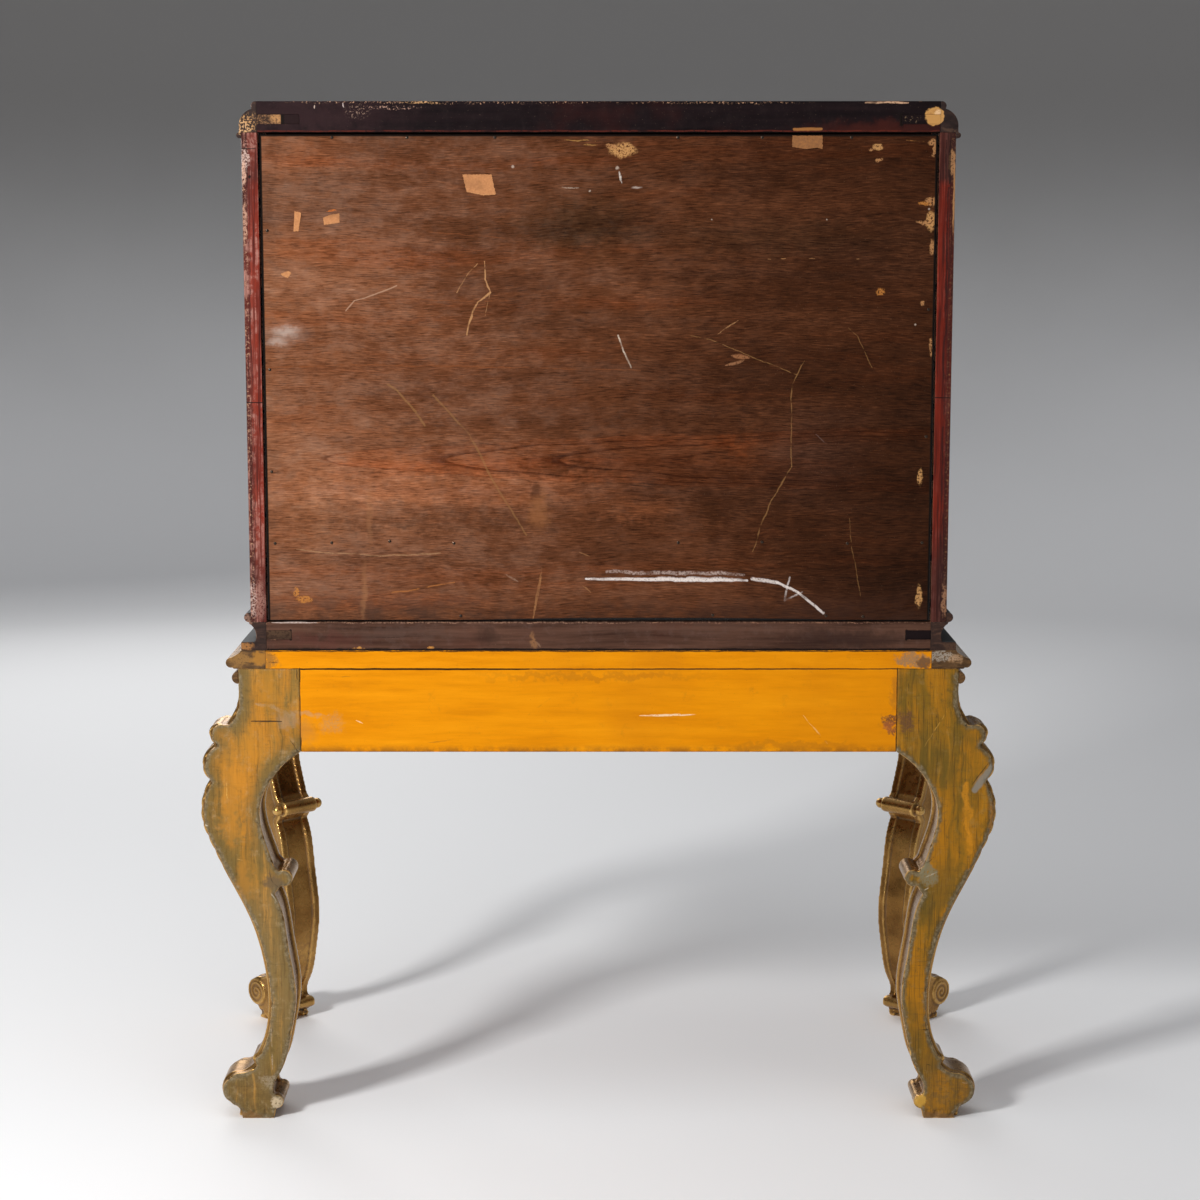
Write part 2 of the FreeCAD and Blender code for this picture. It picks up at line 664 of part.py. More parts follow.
def key_slots(half, length, z_middle):
    """Make the left and right key slots in the back of a rail, as solids the size of the keys."""
    z_range = (z_middle - KEY_HEIGHT / 2, z_middle + KEY_HEIGHT / 2)
    right = box((half - length, half), (0, -KEY_DEPTH), z_range)
    return mirrored(right), right


def rails_and_keys():
    """Make the back rails of the top and base frames, with the keys let into their ends."""
    top_z = SIDE_TOP + TOP_KEY_RISE
    base_z = STAND_TOP + BASE_KEY_RISE
    top_keys = key_slots(CORE_HALF, TOP_KEY_LENGTH, top_z)
    top_slots = key_slots(CORE_HALF, TOP_KEY_LENGTH + KEY_SLOT_SPARE, top_z)
    base_keys = key_slots(CORE_HALF, BASE_KEY_LENGTH, base_z)
    top_rail = box((-CORE_HALF, CORE_HALF), (0, -BACK_RAIL_DEPTH), (SIDE_TOP, CASE_TOP))
    ledge = box(
        (-INNER_HALF, INNER_HALF),
        (PANEL_FACE, -BACK_RAIL_DEPTH),
        (SIDE_TOP - BACK_LEDGE_HEIGHT, SIDE_TOP),
    )
    base_rail = box((-CORE_HALF, CORE_HALF), (0, -BACK_RAIL_DEPTH), (STAND_TOP, BASE_TOP))
    return {
        "top_back_rail": one_solid(fused([top_rail, ledge]).cut([top_keys[0], top_slots[1]])),
        "base_back_rail": one_solid(base_rail.cut(list(base_keys))),
        "corner_keys": Part.makeCompound([*top_keys, *base_keys]),
    }


def boards():
    """Make the shelf, deck, base board and divider inside the case."""
    housed = INNER_HALF + HOUSING_DEPTH
    shelf_front = DOOR_BACK + SHELF_SETBACK
    half_divider = DIVIDER_THICKNESS / 2
    return {
        "base_board": box((-housed, housed), (PANEL_FACE, CORE_FRONT), (BASE_TOP, BASE_BOARD_TOP)),
        "drawer_deck": box((-housed, housed), (PANEL_FACE, DOOR_BACK), (DECK_BOTTOM, DECK_TOP)),
        "shelf": box((-housed, housed), (PANEL_FACE, shelf_front), (SHELF_BOTTOM, SHELF_TOP)),
        "drawer_divider": box(
            (-half_divider, half_divider), (PANEL_FACE, CASE_FRONT), (BASE_BOARD_TOP, DECK_BOTTOM)
        ),
    }


def hinge_zone(x_range):
    """Make the two hinge-leaf places on the right-hand side, over a given range of x."""
    y_range = (CASE_FRONT, CASE_FRONT + HINGE_LEAF_WIDTH)
    return [box(x_range, y_range, (z, z + HINGE_HEIGHT)) for z in hinge_bottoms()]


def hinge_bottoms():
    """Give the lower ends of a door's two hinges."""
    return DOOR_BOTTOM + HINGE_INSET, DOOR_TOP - HINGE_INSET - HINGE_HEIGHT


def frame_leaf_range():
    """Give the range of x of a leaf let into the case's side."""
    return HINGE_X + HINGE_LEAF_GAP / 2, HINGE_X + HINGE_LEAF_GAP / 2 + HINGE_LEAF_THICKNESS


def door_leaf_range():
    """Give the range of x of a leaf let into the door's edge."""
    return HINGE_X - HINGE_LEAF_GAP / 2 - HINGE_LEAF_THICKNESS, HINGE_X - HINGE_LEAF_GAP / 2


def case_side(housed_boards):
    """Make the right side: rebated for the back, housed for the boards, sunk for the hinges."""
    side = box((INNER_HALF, CASE_HALF), (0, CASE_FRONT), (BASE_TOP, SIDE_TOP))
    rebate = box((INNER_HALF, INNER_HALF + BACK_REBATE_WIDTH), (0, PANEL_FACE), (BASE_TOP, SIDE_TOP))
    return one_solid(side.cut([rebate, *housed_boards, *hinge_zone(frame_leaf_range())]))


def case():
    """Make the fixed pieces of the case."""
    inside = boards()
    side = case_side([inside["base_board"], inside["drawer_deck"], inside["shelf"]])
    cornice_front, cornice_left, cornice_right = moulding_frame(
        cornice_profile(), CASE_HALF, CASE_FRONT, FRAME_CORE
    )
    drop = box((-INNER_HALF, INNER_HALF), (CASE_FRONT, CORE_FRONT), (SIDE_TOP - CORNICE_LIP, SIDE_TOP))
    base_front, base_left, base_right = moulding_frame(base_profile(), CASE_HALF, CASE_FRONT, FRAME_CORE)
    riser = box((-INNER_HALF, INNER_HALF), (CASE_FRONT, CORE_FRONT), (BASE_TOP, BASE_BOARD_TOP))
    panel_half = INNER_HALF + BACK_REBATE_WIDTH - BACK_PANEL_GAP
    pieces = {
        "case_side_left": mirrored(side),
        "case_side_right": side,
        "cornice_front": fused([cornice_front, drop]),
        "cornice_left": cornice_left,
        "cornice_right": cornice_right,
        "base_moulding_front": fused([base_front, riser]),
        "base_moulding_left": base_left,
        "base_moulding_right": base_right,
        "top_board": box(
            (-CORE_HALF, CORE_HALF),
            (-BACK_RAIL_DEPTH, CORE_FRONT),
            (CASE_TOP - TOP_BOARD_THICKNESS, CASE_TOP),
        ),
        "front_rail": box((-INNER_HALF, INNER_HALF), (CASE_FRONT, DOOR_BACK), (DECK_BOTTOM, FRONT_RAIL_TOP)),
        "back_panel": box(
            (-panel_half, panel_half),
            (-BACK_PANEL_RECESS, PANEL_FACE),
            (BASE_TOP + BACK_PANEL_GAP, SIDE_TOP - BACK_PANEL_GAP),
        ),
    }
    divider = inside["drawer_divider"]
    rail_notch = pieces["front_rail"]
    inside["drawer_divider"] = one_solid(divider.cut(rail_notch))
    pieces.update(inside)
    pieces.update(rails_and_keys())
    return pieces


# Doors

def door_board():
    """Make the right-hand door, sunk for its hinge leaves."""
    board = box((DOOR_INNER, DOOR_OUTER), (CASE_FRONT, DOOR_BACK), (DOOR_BOTTOM, DOOR_TOP))
    front_edges = [edge for edge in board.Edges if edge.BoundBox.YMax < CASE_FRONT + DOOR_EDGE_RADIUS]
    rounded = board.makeFillet(DOOR_EDGE_RADIUS, front_edges)
    return one_solid(rounded.cut(hinge_zone(door_leaf_range())))


def keyhole(y_range):
    """Make the keyhole: a round hole with a slot below it."""
    front = FreeCAD.Vector(LOCK_X, min(y_range), LOCK_Z)
    hole = rod(front, FreeCAD.Vector(0, 1, 0), KEYHOLE_RADIUS, abs(y_range[1] - y_range[0]))
    half_slot = KEYHOLE_SLOT_WIDTH / 2
    slot = box((LOCK_X - half_slot, LOCK_X + half_slot), y_range, (LOCK_Z - KEYHOLE_DROP, LOCK_Z))
    return fused([hole, slot])


def knuckle_bands(bottom):
    """Give the lower and upper ends of a hinge's knuckles, from the bottom up."""
    pitch = HINGE_HEIGHT / HINGE_KNUCKLES
    half_gap = KNUCKLE_GAP / 2
    starts = [bottom + i * pitch for i in range(HINGE_KNUCKLES)]
    return [(start + half_gap, start + pitch - half_gap) for start in starts]


def hinge_leaf(bottom, x_range, first_knuckle):
    """Make one leaf with every second knuckle, bored for the pin."""
    plate = box(x_range, (CASE_FRONT, CASE_FRONT + HINGE_LEAF_WIDTH), (bottom, bottom + HINGE_HEIGHT))
    pieces = [plate]
    bore_radius = HINGE_PIN_RADIUS + HINGE_PIN_PLAY
    up = FreeCAD.Vector(0, 0, 1)
    for low, high in knuckle_bands(bottom)[first_knuckle::2]:
        centre = FreeCAD.Vector(HINGE_X, HINGE_Y, low)
        barrel = rod(centre, up, KNUCKLE_RADIUS, high - low)
        tab = box(x_range, (HINGE_Y, CASE_FRONT), (low, high))
        pieces.append(fused([barrel, tab]).cut(rod(centre, up, bore_radius, high - low)).Solids[0])
    return fused(pieces)


def hinge_pin(bottom):
    """Make a hinge pin with a small ball at each end."""
    length = HINGE_HEIGHT + 2 * FINIAL_RADIUS
    lowest = FreeCAD.Vector(HINGE_X, HINGE_Y, bottom - FINIAL_RADIUS)
    highest = FreeCAD.Vector(HINGE_X, HINGE_Y, lowest.z + length)
    pin = rod(lowest, FreeCAD.Vector(0, 0, 1), HINGE_PIN_RADIUS, length)
    return fused([pin, Part.makeSphere(FINIAL_RADIUS, lowest), Part.makeSphere(FINIAL_RADIUS, highest)])


def hinges():
    """Make the hinges of both doors, two to a door."""
    frame_leaves = Part.makeCompound([hinge_leaf(z, frame_leaf_range(), 0) for z in hinge_bottoms()])
    door_leaves = Part.makeCompound([hinge_leaf(z, door_leaf_range(), 1) for z in hinge_bottoms()])
    pins = Part.makeCompound([hinge_pin(z) for z in hinge_bottoms()])
    return {
        "hinge_frame_leaves_left": mirrored(frame_leaves),
        "hinge_frame_leaves_right": frame_leaves,
        "hinge_door_leaves_left": mirrored(door_leaves),
        "hinge_door_leaves_right": door_leaves,
        "hinge_pins_left": mirrored(pins),
        "hinge_pins_right": pins,
    }


def lock_bolt():
    """Make the lock's bolt, drawn back, with the talon that the key's bit works in."""
    nose = DOOR_INNER + LOCK_CASE_INSET
    half = LOCK_BOLT_THICKNESS / 2
    y_range = (LOCK_BOLT_Y - half, LOCK_BOLT_Y + half)
    bar = box((nose, nose + LOCK_BOLT_LENGTH), y_range, (LOCK_BOLT_TOP - LOCK_BOLT_HEIGHT, LOCK_BOLT_TOP))
    middle = LOCK_X + LOCK_BOLT_THROW / 2
    talon = box(
        (middle - TALON_WIDTH / 2, middle + TALON_WIDTH / 2),
        y_range,
        (LOCK_BOLT_TOP - TALON_DEPTH, LOCK_BOLT_TOP),
    )
    return one_solid(bar.cut(talon))


def lock_case():
    """Make the lock's case, open towards the door and slotted for the bolt."""
    left = DOOR_INNER + LOCK_CASE_INSET
    right = left + LOCK_CASE_WIDTH
    back = DOOR_BACK + LOCK_CASE_DEPTH
    low = LOCK_Z - LOCK_CASE_BELOW
    high = LOCK_Z + LOCK_CASE_ABOVE
    wall = LOCK_CASE_WALL
    shell = box((left, right), (DOOR_BACK, back), (low, high))
    hollow = box((left + wall, right - wall), (DOOR_BACK, back - wall), (low + wall, high - wall))
    half = LOCK_BOLT_THICKNESS / 2 + LOCK_BOLT_CLEARANCE
    slot = box(
        (left, left + wall),
        (LOCK_BOLT_Y - half, LOCK_BOLT_Y + half),
        (LOCK_BOLT_TOP - LOCK_BOLT_HEIGHT - LOCK_BOLT_CLEARANCE, LOCK_BOLT_TOP + LOCK_BOLT_CLEARANCE),
    )
    return one_solid(shell.cut([hollow, slot]))


def lock_keeper():
    """Make the keeper on the left-hand door: a strap that bridges the thrown bolt."""
    half = LOCK_BOLT_HEIGHT / 2 + KEEPER_CLEARANCE
    middle = LOCK_BOLT_TOP - LOCK_BOLT_HEIGHT / 2
    back = LOCK_BOLT_Y + LOCK_BOLT_THICKNESS / 2 + KEEPER_CLEARANCE + KEEPER_THICKNESS
    edge = -DOOR_INNER - KEEPER_SETBACK
    x_range = (edge - KEEPER_WIDTH, edge)
    tall = half + KEEPER_THICKNESS
    bridge = box(x_range, (DOOR_BACK, back), (middle - tall, middle + tall))
    gap = box(x_range, (DOOR_BACK, back - KEEPER_THICKNESS), (middle - half, middle + half))
    feet = [
        box(x_range, (DOOR_BACK, DOOR_BACK + KEEPER_THICKNESS), (middle + tall, middle + tall + KEEPER_FOOT)),
        box(x_range, (DOOR_BACK, DOOR_BACK + KEEPER_THICKNESS), (middle - tall - KEEPER_FOOT, middle - tall)),
    ]
    return fused([one_solid(bridge.cut(gap)), *feet])


def key():
    """Make the key, its bit turned to where it meets the bolt's talon."""
    front = CASE_FRONT - ESCUTCHEON_THICKNESS - KEY_STANDOFF
    bit_end = LOCK_BOLT_Y + KEY_BIT_LENGTH / 2
    backwards = FreeCAD.Vector(0, 1, 0)
    shank = rod(FreeCAD.Vector(LOCK_X, front, LOCK_Z), backwards, KEY_SHANK_RADIUS, bit_end - front)
    collar_start = FreeCAD.Vector(LOCK_X, CASE_FRONT - ESCUTCHEON_THICKNESS - KEY_COLLAR_STANDOFF, LOCK_Z)
    collar = rod(collar_start, backwards, KEY_COLLAR_RADIUS, KEY_COLLAR_LENGTH)
    half_bit = KEY_BIT_THICKNESS / 2
    bit = box(
        (LOCK_X - half_bit, LOCK_X + half_bit),
        (bit_end - KEY_BIT_LENGTH, bit_end),
        (LOCK_Z - KEY_BIT_REACH, LOCK_Z),
    )
    bit.rotate(FreeCAD.Vector(LOCK_X, 0, LOCK_Z), FreeCAD.Vector(0, 1, 0), -KEY_TURN / 2)
    ring_centre = FreeCAD.Vector(LOCK_X, front - KEY_BOW_RADIUS + KEY_BOW_WIRE, LOCK_Z)
    bow = Part.makeTorus(KEY_BOW_RADIUS, KEY_BOW_WIRE, ring_centre, FreeCAD.Vector(1, 0, 0))
    return fused([shank, collar, bit, bow])


def escutcheon():
    """Make the oval keyhole plate on the front of the right-hand door."""
    oval = Part.Ellipse(ORIGIN, ESCUTCHEON_HALF_HEIGHT, ESCUTCHEON_HALF_WIDTH).toShape()
    plate = Part.Face(Part.Wire(oval)).extrude(FreeCAD.Vector(0, 0, ESCUTCHEON_THICKNESS))
    plate.rotate(ORIGIN, FreeCAD.Vector(0, 0, 1), 90)
    plate.rotate(ORIGIN, FreeCAD.Vector(1, 0, 0), 90)
    plate = moved(plate, x=LOCK_X, y=CASE_FRONT, z=LOCK_Z - ESCUTCHEON_DROP)
    return one_solid(plate.cut(keyhole((CASE_FRONT, CASE_FRONT - ESCUTCHEON_THICKNESS))))


def door_bolt(low):
    """Make a sliding bolt for the left-hand door, with its knob."""
    x = -DOOR_INNER - DOOR_BOLT_SETBACK
    face = DOOR_BACK + BOLT_PLATE_THICKNESS + DOOR_BOLT_CLEARANCE
    back = face + DOOR_BOLT_THICKNESS
    half = DOOR_BOLT_WIDTH / 2
    bar = box((x - half, x + half), (face, back), (low, low + DOOR_BOLT_LENGTH))
    knob_start = FreeCAD.Vector(x, back, low + DOOR_BOLT_LENGTH / 2)
    knob = rod(knob_start, FreeCAD.Vector(0, 1, 0), DOOR_BOLT_KNOB_RADIUS, DOOR_BOLT_KNOB_LENGTH)
    return fused([bar, knob])


def bolt_guide(low):
    """Make a bolt's plate with its two straps."""
    x = -DOOR_INNER - DOOR_BOLT_SETBACK
    half_plate = BOLT_PLATE_WIDTH / 2
    face = DOOR_BACK + BOLT_PLATE_THICKNESS
    plate = box((x - half_plate, x + half_plate), (DOOR_BACK, face), (low, low + BOLT_PLATE_LENGTH))
    inner = DOOR_BOLT_WIDTH / 2 + DOOR_BOLT_CLEARANCE
    outer = inner + BOLT_STRAP_THICKNESS
    gap_back = face + DOOR_BOLT_THICKNESS + 2 * DOOR_BOLT_CLEARANCE
    pieces = [plate]
    for z in (low, low + BOLT_PLATE_LENGTH - BOLT_STRAP_WIDTH):
        z_range = (z, z + BOLT_STRAP_WIDTH)
        strap = box((x - outer, x + outer), (face, gap_back + BOLT_STRAP_THICKNESS), z_range)
        pieces.append(one_solid(strap.cut(box((x - inner, x + inner), (face, gap_back), z_range))))
    return fused(pieces)


def doors():
    """Make both doors with their hinges, lock, keeper and bolts."""
    right = door_board()
    bolt_spare = (DOOR_BOLT_LENGTH - BOLT_PLATE_LENGTH) / 2
    low_bolt = DOOR_BOTTOM + DOOR_GAP
    high_bolt = DOOR_TOP - DOOR_GAP - DOOR_BOLT_LENGTH
    pieces = {
        "door_left": mirrored(right),
        "door_right": one_solid(right.cut(keyhole((CASE_FRONT, DOOR_BACK)))),
        "lock_case": lock_case(),
        "lock_bolt": lock_bolt(),
        "lock_keeper": lock_keeper(),
        "key": key(),
        "escutcheon": escutcheon(),
        "door_bolt_upper": door_bolt(high_bolt),
        "door_bolt_lower": door_bolt(low_bolt),
        "door_bolt_guides": Part.makeCompound(
            [bolt_guide(high_bolt + bolt_spare), bolt_guide(low_bolt + bolt_spare)]
        ),
    }
    pieces.update(hinges())
    return pieces


# Drawers

def drawer_pull(x, z):
    """Turn a drawer's knob: rose, neck and domed head."""
    head = PULL_REACH - PULL_HEAD_RADIUS
    knob = turned_end([
        (PULL_ROSE_RADIUS, 0.0),
        (PULL_ROSE_RADIUS - PULL_ROSE_CHAMFER, PULL_ROSE_THICKNESS),
        (PULL_NECK_RADIUS, PULL_NECK_START),
        (PULL_NECK_RADIUS, head),
    ])
    ball = Part.makeSphere(PULL_HEAD_RADIUS, FreeCAD.Vector(0, -head, 0))
    return moved(fused([knob, ball]), x=x, y=CASE_FRONT, z=z)


def drawer():
    """Make the right-hand drawer: front, sides, back, bottom and knob."""
    left = DIVIDER_THICKNESS / 2 + DRAWER_GAP
    right = INNER_HALF - DRAWER_GAP
    floor = BASE_BOARD_TOP + DRAWER_RUNNING_GAP
    front_low = BASE_BOARD_TOP + DRAWER_GAP
    front_high = DECK_BOTTOM - DRAWER_GAP
    inner_face = CASE_FRONT + DRAWER_FRONT_THICKNESS
    back = PANEL_FACE - DRAWER_REAR_GAP
    side_high = floor + DRAWER_SIDE_HEIGHT
    bottom_low = floor + DRAWER_BOTTOM_RAISE
    bottom_high = bottom_low + DRAWER_BOTTOM_THICKNESS
    thickness = DRAWER_SIDE_THICKNESS
    groove = DRAWER_GROOVE_DEPTH
    bottom = box(
        (left + thickness - groove, right - thickness + groove),
        (inner_face - groove, back),
        (bottom_low, bottom_high),
    )
    front = box((left, right), (CASE_FRONT, inner_face), (front_low, front_high))
    side_y = (inner_face, back)
    left_side = box((left, left + thickness), side_y, (floor, side_high))
    right_side = box((right - thickness, right), side_y, (floor, side_high))
    return {
        "front": one_solid(front.cut(bottom)),
        "sides": Part.makeCompound([one_solid(left_side.cut(bottom)), one_solid(right_side.cut(bottom))]),
        "back": box(
            (left + thickness, right - thickness), (back - thickness, back), (bottom_high, side_high)
        ),
        "bottom": bottom,
        "pull": drawer_pull((left + right) / 2, (front_low + front_high) / 2),
    }


def drawers():
    """Make both drawers."""
    pieces = {}
    for name, shape in drawer().items():
        pieces["drawer_" + name + "_right"] = shape
        pieces["drawer_" + name + "_left"] = mirrored(shape)
    return pieces


def main():
    """Build every piece, set the origin and write the pieces."""
    pieces = {}
    for group in (stand, case, doors, drawers):
        pieces.update(group())
    knees = pieces["front_leg_right"].optimalBoundingBox()
    os.makedirs("parts", exist_ok=True)
    for name, shape in pieces.items():
        moved(shape, y=-knees.YMin / 2).exportStep(os.path.join("parts", name + ".step"))
    print("pieces:", len(pieces), "depth:", round(-knees.YMin, 3), "width:", round(2 * knees.XMax, 3))


main()
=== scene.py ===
"""Lacquered cocktail cabinet on a carved stand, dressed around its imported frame.

Metres, +Z up. The doors face -Y. The nailed back faces +Y, towards the camera, so +X is on the picture's
left. Marks are placed in millimetres, with their colours in thousandths.
"""

import json
import logging
import math
from collections.abc import Callable, Iterator, Sequence
from contextlib import contextmanager
from dataclasses import dataclass
from enum import Enum

import bpy
import numpy as np
from mathutils import Euler, Matrix, Vector, noise
from mathutils.kdtree import KDTree

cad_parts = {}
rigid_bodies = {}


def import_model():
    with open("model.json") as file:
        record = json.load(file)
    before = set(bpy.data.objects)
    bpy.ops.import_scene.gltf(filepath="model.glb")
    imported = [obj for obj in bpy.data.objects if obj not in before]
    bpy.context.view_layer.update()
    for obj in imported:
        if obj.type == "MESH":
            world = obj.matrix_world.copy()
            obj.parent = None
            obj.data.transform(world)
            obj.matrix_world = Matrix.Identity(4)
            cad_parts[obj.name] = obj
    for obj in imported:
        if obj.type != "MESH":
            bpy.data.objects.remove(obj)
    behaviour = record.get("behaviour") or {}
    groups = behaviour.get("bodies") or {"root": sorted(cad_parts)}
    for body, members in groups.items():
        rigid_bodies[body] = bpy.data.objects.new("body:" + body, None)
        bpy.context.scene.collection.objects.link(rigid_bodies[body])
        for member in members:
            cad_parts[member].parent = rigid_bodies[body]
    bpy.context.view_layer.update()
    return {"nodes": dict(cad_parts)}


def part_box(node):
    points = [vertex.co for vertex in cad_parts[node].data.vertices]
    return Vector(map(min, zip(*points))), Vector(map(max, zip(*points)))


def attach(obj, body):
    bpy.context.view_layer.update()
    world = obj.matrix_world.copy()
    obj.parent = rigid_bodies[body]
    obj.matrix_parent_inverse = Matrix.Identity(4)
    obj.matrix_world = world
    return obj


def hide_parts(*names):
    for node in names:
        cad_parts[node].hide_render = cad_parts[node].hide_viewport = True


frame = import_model()
log = logging.getLogger("cocktail_cabinet")

Triple = tuple[float, float, float]
Colour = Triple
Spot = tuple[float, float]
Socket = bpy.types.NodeSocket
Node = bpy.types.Node
Object = bpy.types.Object

BACK = 0.28323
PANEL_BACK = 0.28123
INNER_HALF = 0.466
MILLI = 0.001
FAR = 9.0


class Slot(str, Enum):
    """Material slots of the record."""

    GILT = "gilt_wood"
    LEG_BACK = "worn_gilt"
    OCHRE = "ochre_paint"
    RAW = "raw_wood"
    BLACK = "black_lacquer"
    SIDE = "side_lacquer"
    RAIL = "dark_rail"
    VENEER = "brown_veneer"
    RED = "red_lacquer"
    DRAWER = "drawer_wood"
    BRASS = "brass"
    IRON = "lock_iron"


class Run(Enum):
    """Way the grain of a board runs, as the stretch of its pattern along each axis."""

    X = (2.0, 42.0, 42.0)
    Y = (42.0, 2.0, 42.0)


class Effect(str, Enum):
    """Shared shader node groups."""

    GRAIN = "timber_grain"
    PATCH = "ragged_patch"
    STROKE = "ragged_stroke"
    GRIME = "grime"
    BORDER = "gilt_border"
    RUB = "edge_rub"


class Graph:
    """Adds and links shader nodes in one tree."""

    def __init__(self, tree: bpy.types.NodeTree) -> None:
        """Keep the tree that nodes are added to."""
        self.tree = tree

    def node(self, kind: str, wires: dict | None = None, **settings: object) -> Node:
        """Add a node.

        Args:
            kind: the node's type without its ShaderNode prefix.
            wires: a socket to link or a plain value for each input, by name or place.
            settings: properties of the node.

        Returns:
            The new node.
        """
        node = self.tree.nodes.new("ShaderNode" + kind)
        for name, value in settings.items():
            setattr(node, name, value)
        for key, value in (wires or {}).items():
            self.wire(node.inputs[key], value)
        return node

    def wire(self, target: Socket, value: object) -> None:
        """Link a socket to an input, or set the input's own value."""
        if isinstance(value, Socket):
            self.tree.links.new(value, target)
        elif target.type == "RGBA" and len(value) == 3:
            target.default_value = (*value, 1.0)
        else:
            target.default_value = value

    def math(self, operation: str, *values: object, clamp: bool = False) -> Socket:
        """Give the result of a Math node."""
        return self.node("Math", dict(enumerate(values)), operation=operation, use_clamp=clamp).outputs[0]

    def times(self, *values: object) -> Socket:
        """Give the product of values."""
        product, *others = values
        for value in others:
            product = self.math("MULTIPLY", product, value)
        return product

    def rest(self, share: object) -> Socket:
        """Give what a share leaves of one."""
        return self.math("SUBTRACT", 1.0, share)

    def vector(self, operation: str, *values: object) -> Socket:
        """Give the vector of a Vector Math node."""
        return self.node("VectorMath", dict(enumerate(values)), operation=operation).outputs[0]

    def measure(self, operation: str, *values: object) -> Socket:
        """Give the number of a Vector Math node, such as a length or a dot product."""
        return self.node("VectorMath", dict(enumerate(values)), operation=operation).outputs["Value"]

    def mix(self, share: object, under: object, over: object, blend: str = "MIX") -> Socket:
        """Give one colour laid over another by a share."""
        return self.node("Mix", {0: share, 6: under, 7: over}, data_type="RGBA",
                         blend_type=blend).outputs[2]

    def ramp(self, value: Socket, *stops: tuple[float, Colour]) -> Socket:
        """Give a colour from a ramp of (place, colour) stops."""
        node = self.node("ValToRGB", {0: value})
        elements = node.color_ramp.elements
        while len(elements) < len(stops):
            elements.new(0.5)
        for element, (place, colour) in zip(elements, stops):
            element.position = place
            element.color = (*colour, 1.0)
        return node.outputs[0]

    def span(self, value: object, low: object, high: object, to_low: float = 0.0,
             to_high: float = 1.0) -> Socket:
        """Give a value eased from one range to another."""
        wires = {"Value": value, "From Min": low, "From Max": high, "To Min": to_low, "To Max": to_high}
        return self.node("MapRange", wires, interpolation_type="SMOOTHSTEP").outputs["Result"]

    def past(self, value: Socket, bar: object, below: float, above: float, *ends: float) -> Socket:
        """Give a value eased from a little below a bar to a little above it."""
        return self.span(value, self.math("SUBTRACT", bar, below), self.math("ADD", bar, above), *ends)

    def noise(self, place: Socket, scale: object, detail: float = 3.0, rough: float = 0.55) -> Socket:
        """Give a cloudy value between 0 and 1."""
        wires = {"Vector": place, "Scale": scale, "Detail": detail, "Roughness": rough}
        return self.node("TexNoise", wires).outputs["Fac"]

    def drawn(self, place: Socket, stretch: Triple, detail: float = 3.0) -> Socket:
        """Give a noise drawn out along the axes with the smaller numbers."""
        return self.noise(self.vector("MULTIPLY", place, stretch), 1.0, detail, 0.6)

    def shiver(self, place: Socket, scale: float) -> Socket:
        """Give a vector that wanders between about -0.5 and 0.5 on each axis."""
        cloud = self.node("TexNoise", {"Vector": place, "Scale": scale, "Detail": 3.0}).outputs["Color"]
        return self.vector("SUBTRACT", cloud, (0.5, 0.5, 0.5))

    def scaled(self, vector: Socket, amount: object) -> Socket:
        """Give a vector times a number."""
        return self.node("VectorMath", {0: vector, 3: amount}, operation="SCALE").outputs[0]

    def drift(self, place: Socket, scale: float, reach: object) -> Socket:
        """Give a place that wanders by up to about half the reach."""
        return self.vector("ADD", place, self.scaled(self.shiver(place, scale), reach))

    def weigh(self, start: object, *parts: tuple[Socket, float]) -> Socket:
        """Give a start value pushed up and down by noises, each with its weight."""
        for value, weight in parts:
            start = self.math("MULTIPLY_ADD", value, weight, self.math("SUBTRACT", start, weight / 2))
        return start

    def tint(self, share: object, under: Socket, factors: Colour) -> Socket:
        """Give a colour with its channels multiplied by a share."""
        return self.mix(share, under, factors, "MULTIPLY")

    def place(self) -> Socket:
        """Give the object coordinates."""
        return self.node("TexCoord").outputs["Object"]

    def axes(self, place: Socket) -> tuple[Socket, Socket, Socket]:
        """Give the three coordinates of a place."""
        outputs = self.node("SeparateXYZ", {0: place}).outputs
        return outputs[0], outputs[1], outputs[2]

    def attribute(self, name: str) -> Socket:
        """Give a number kept on the mesh."""
        return self.node("Attribute", attribute_name=name).outputs["Fac"]

    def use(self, effect: Effect, **wires: object) -> bpy.types.NodeOutputs:
        """Place a shared group and give its outputs."""
        node = self.node("Group", node_tree=EffectBook.group(effect))
        for name, value in wires.items():
            self.wire(node.inputs[name], value)
        return node.outputs

    def grime(self, place: Socket, scale: float) -> bpy.types.NodeOutputs:
        """Give the blotches, clouds and specks of an old surface."""
        return self.use(Effect.GRIME, Place=place, Scale=scale)

    def grain(self, place: Socket, stretch: Triple, wander: float) -> bpy.types.NodeOutputs:
        """Give the streaks and pores of timber."""
        return self.use(Effect.GRAIN, Place=place, Stretch=stretch, Wander=wander)

    def dulled(self, grime: bpy.types.NodeOutputs, low: float, high: float) -> Socket:
        """Give a roughness between two limits by the rubbed clouds of the grime."""
        return self.span(grime["Rubbed"], 0.3, 0.7, low, high)

    def worn(self, place: Socket, under: Socket, over: Colour, amount: float, share: float = 1.0) -> Socket:
        """Lay a colour over the rubbed parts of a board's eased edges."""
        mask = self.use(Effect.RUB, Place=place, Rim=self.attribute("rim"), Amount=amount)["Mask"]
        return self.mix(self.times(mask, share), under, over)

    def veil(self, under: Socket, over: object, value: Socket, low: float, high: float,
             share: float) -> Socket:
        """Lay a colour over another up to a share, by a value eased from low to high."""
        return self.mix(self.span(value, low, high, 0.0, share), under, over)

    def by_side(self, x: Socket, right: float, left: float) -> Socket:
        """Give one value on the picture's right that eases into another on its left."""
        return self.span(x, -0.1, 0.1, right, left)

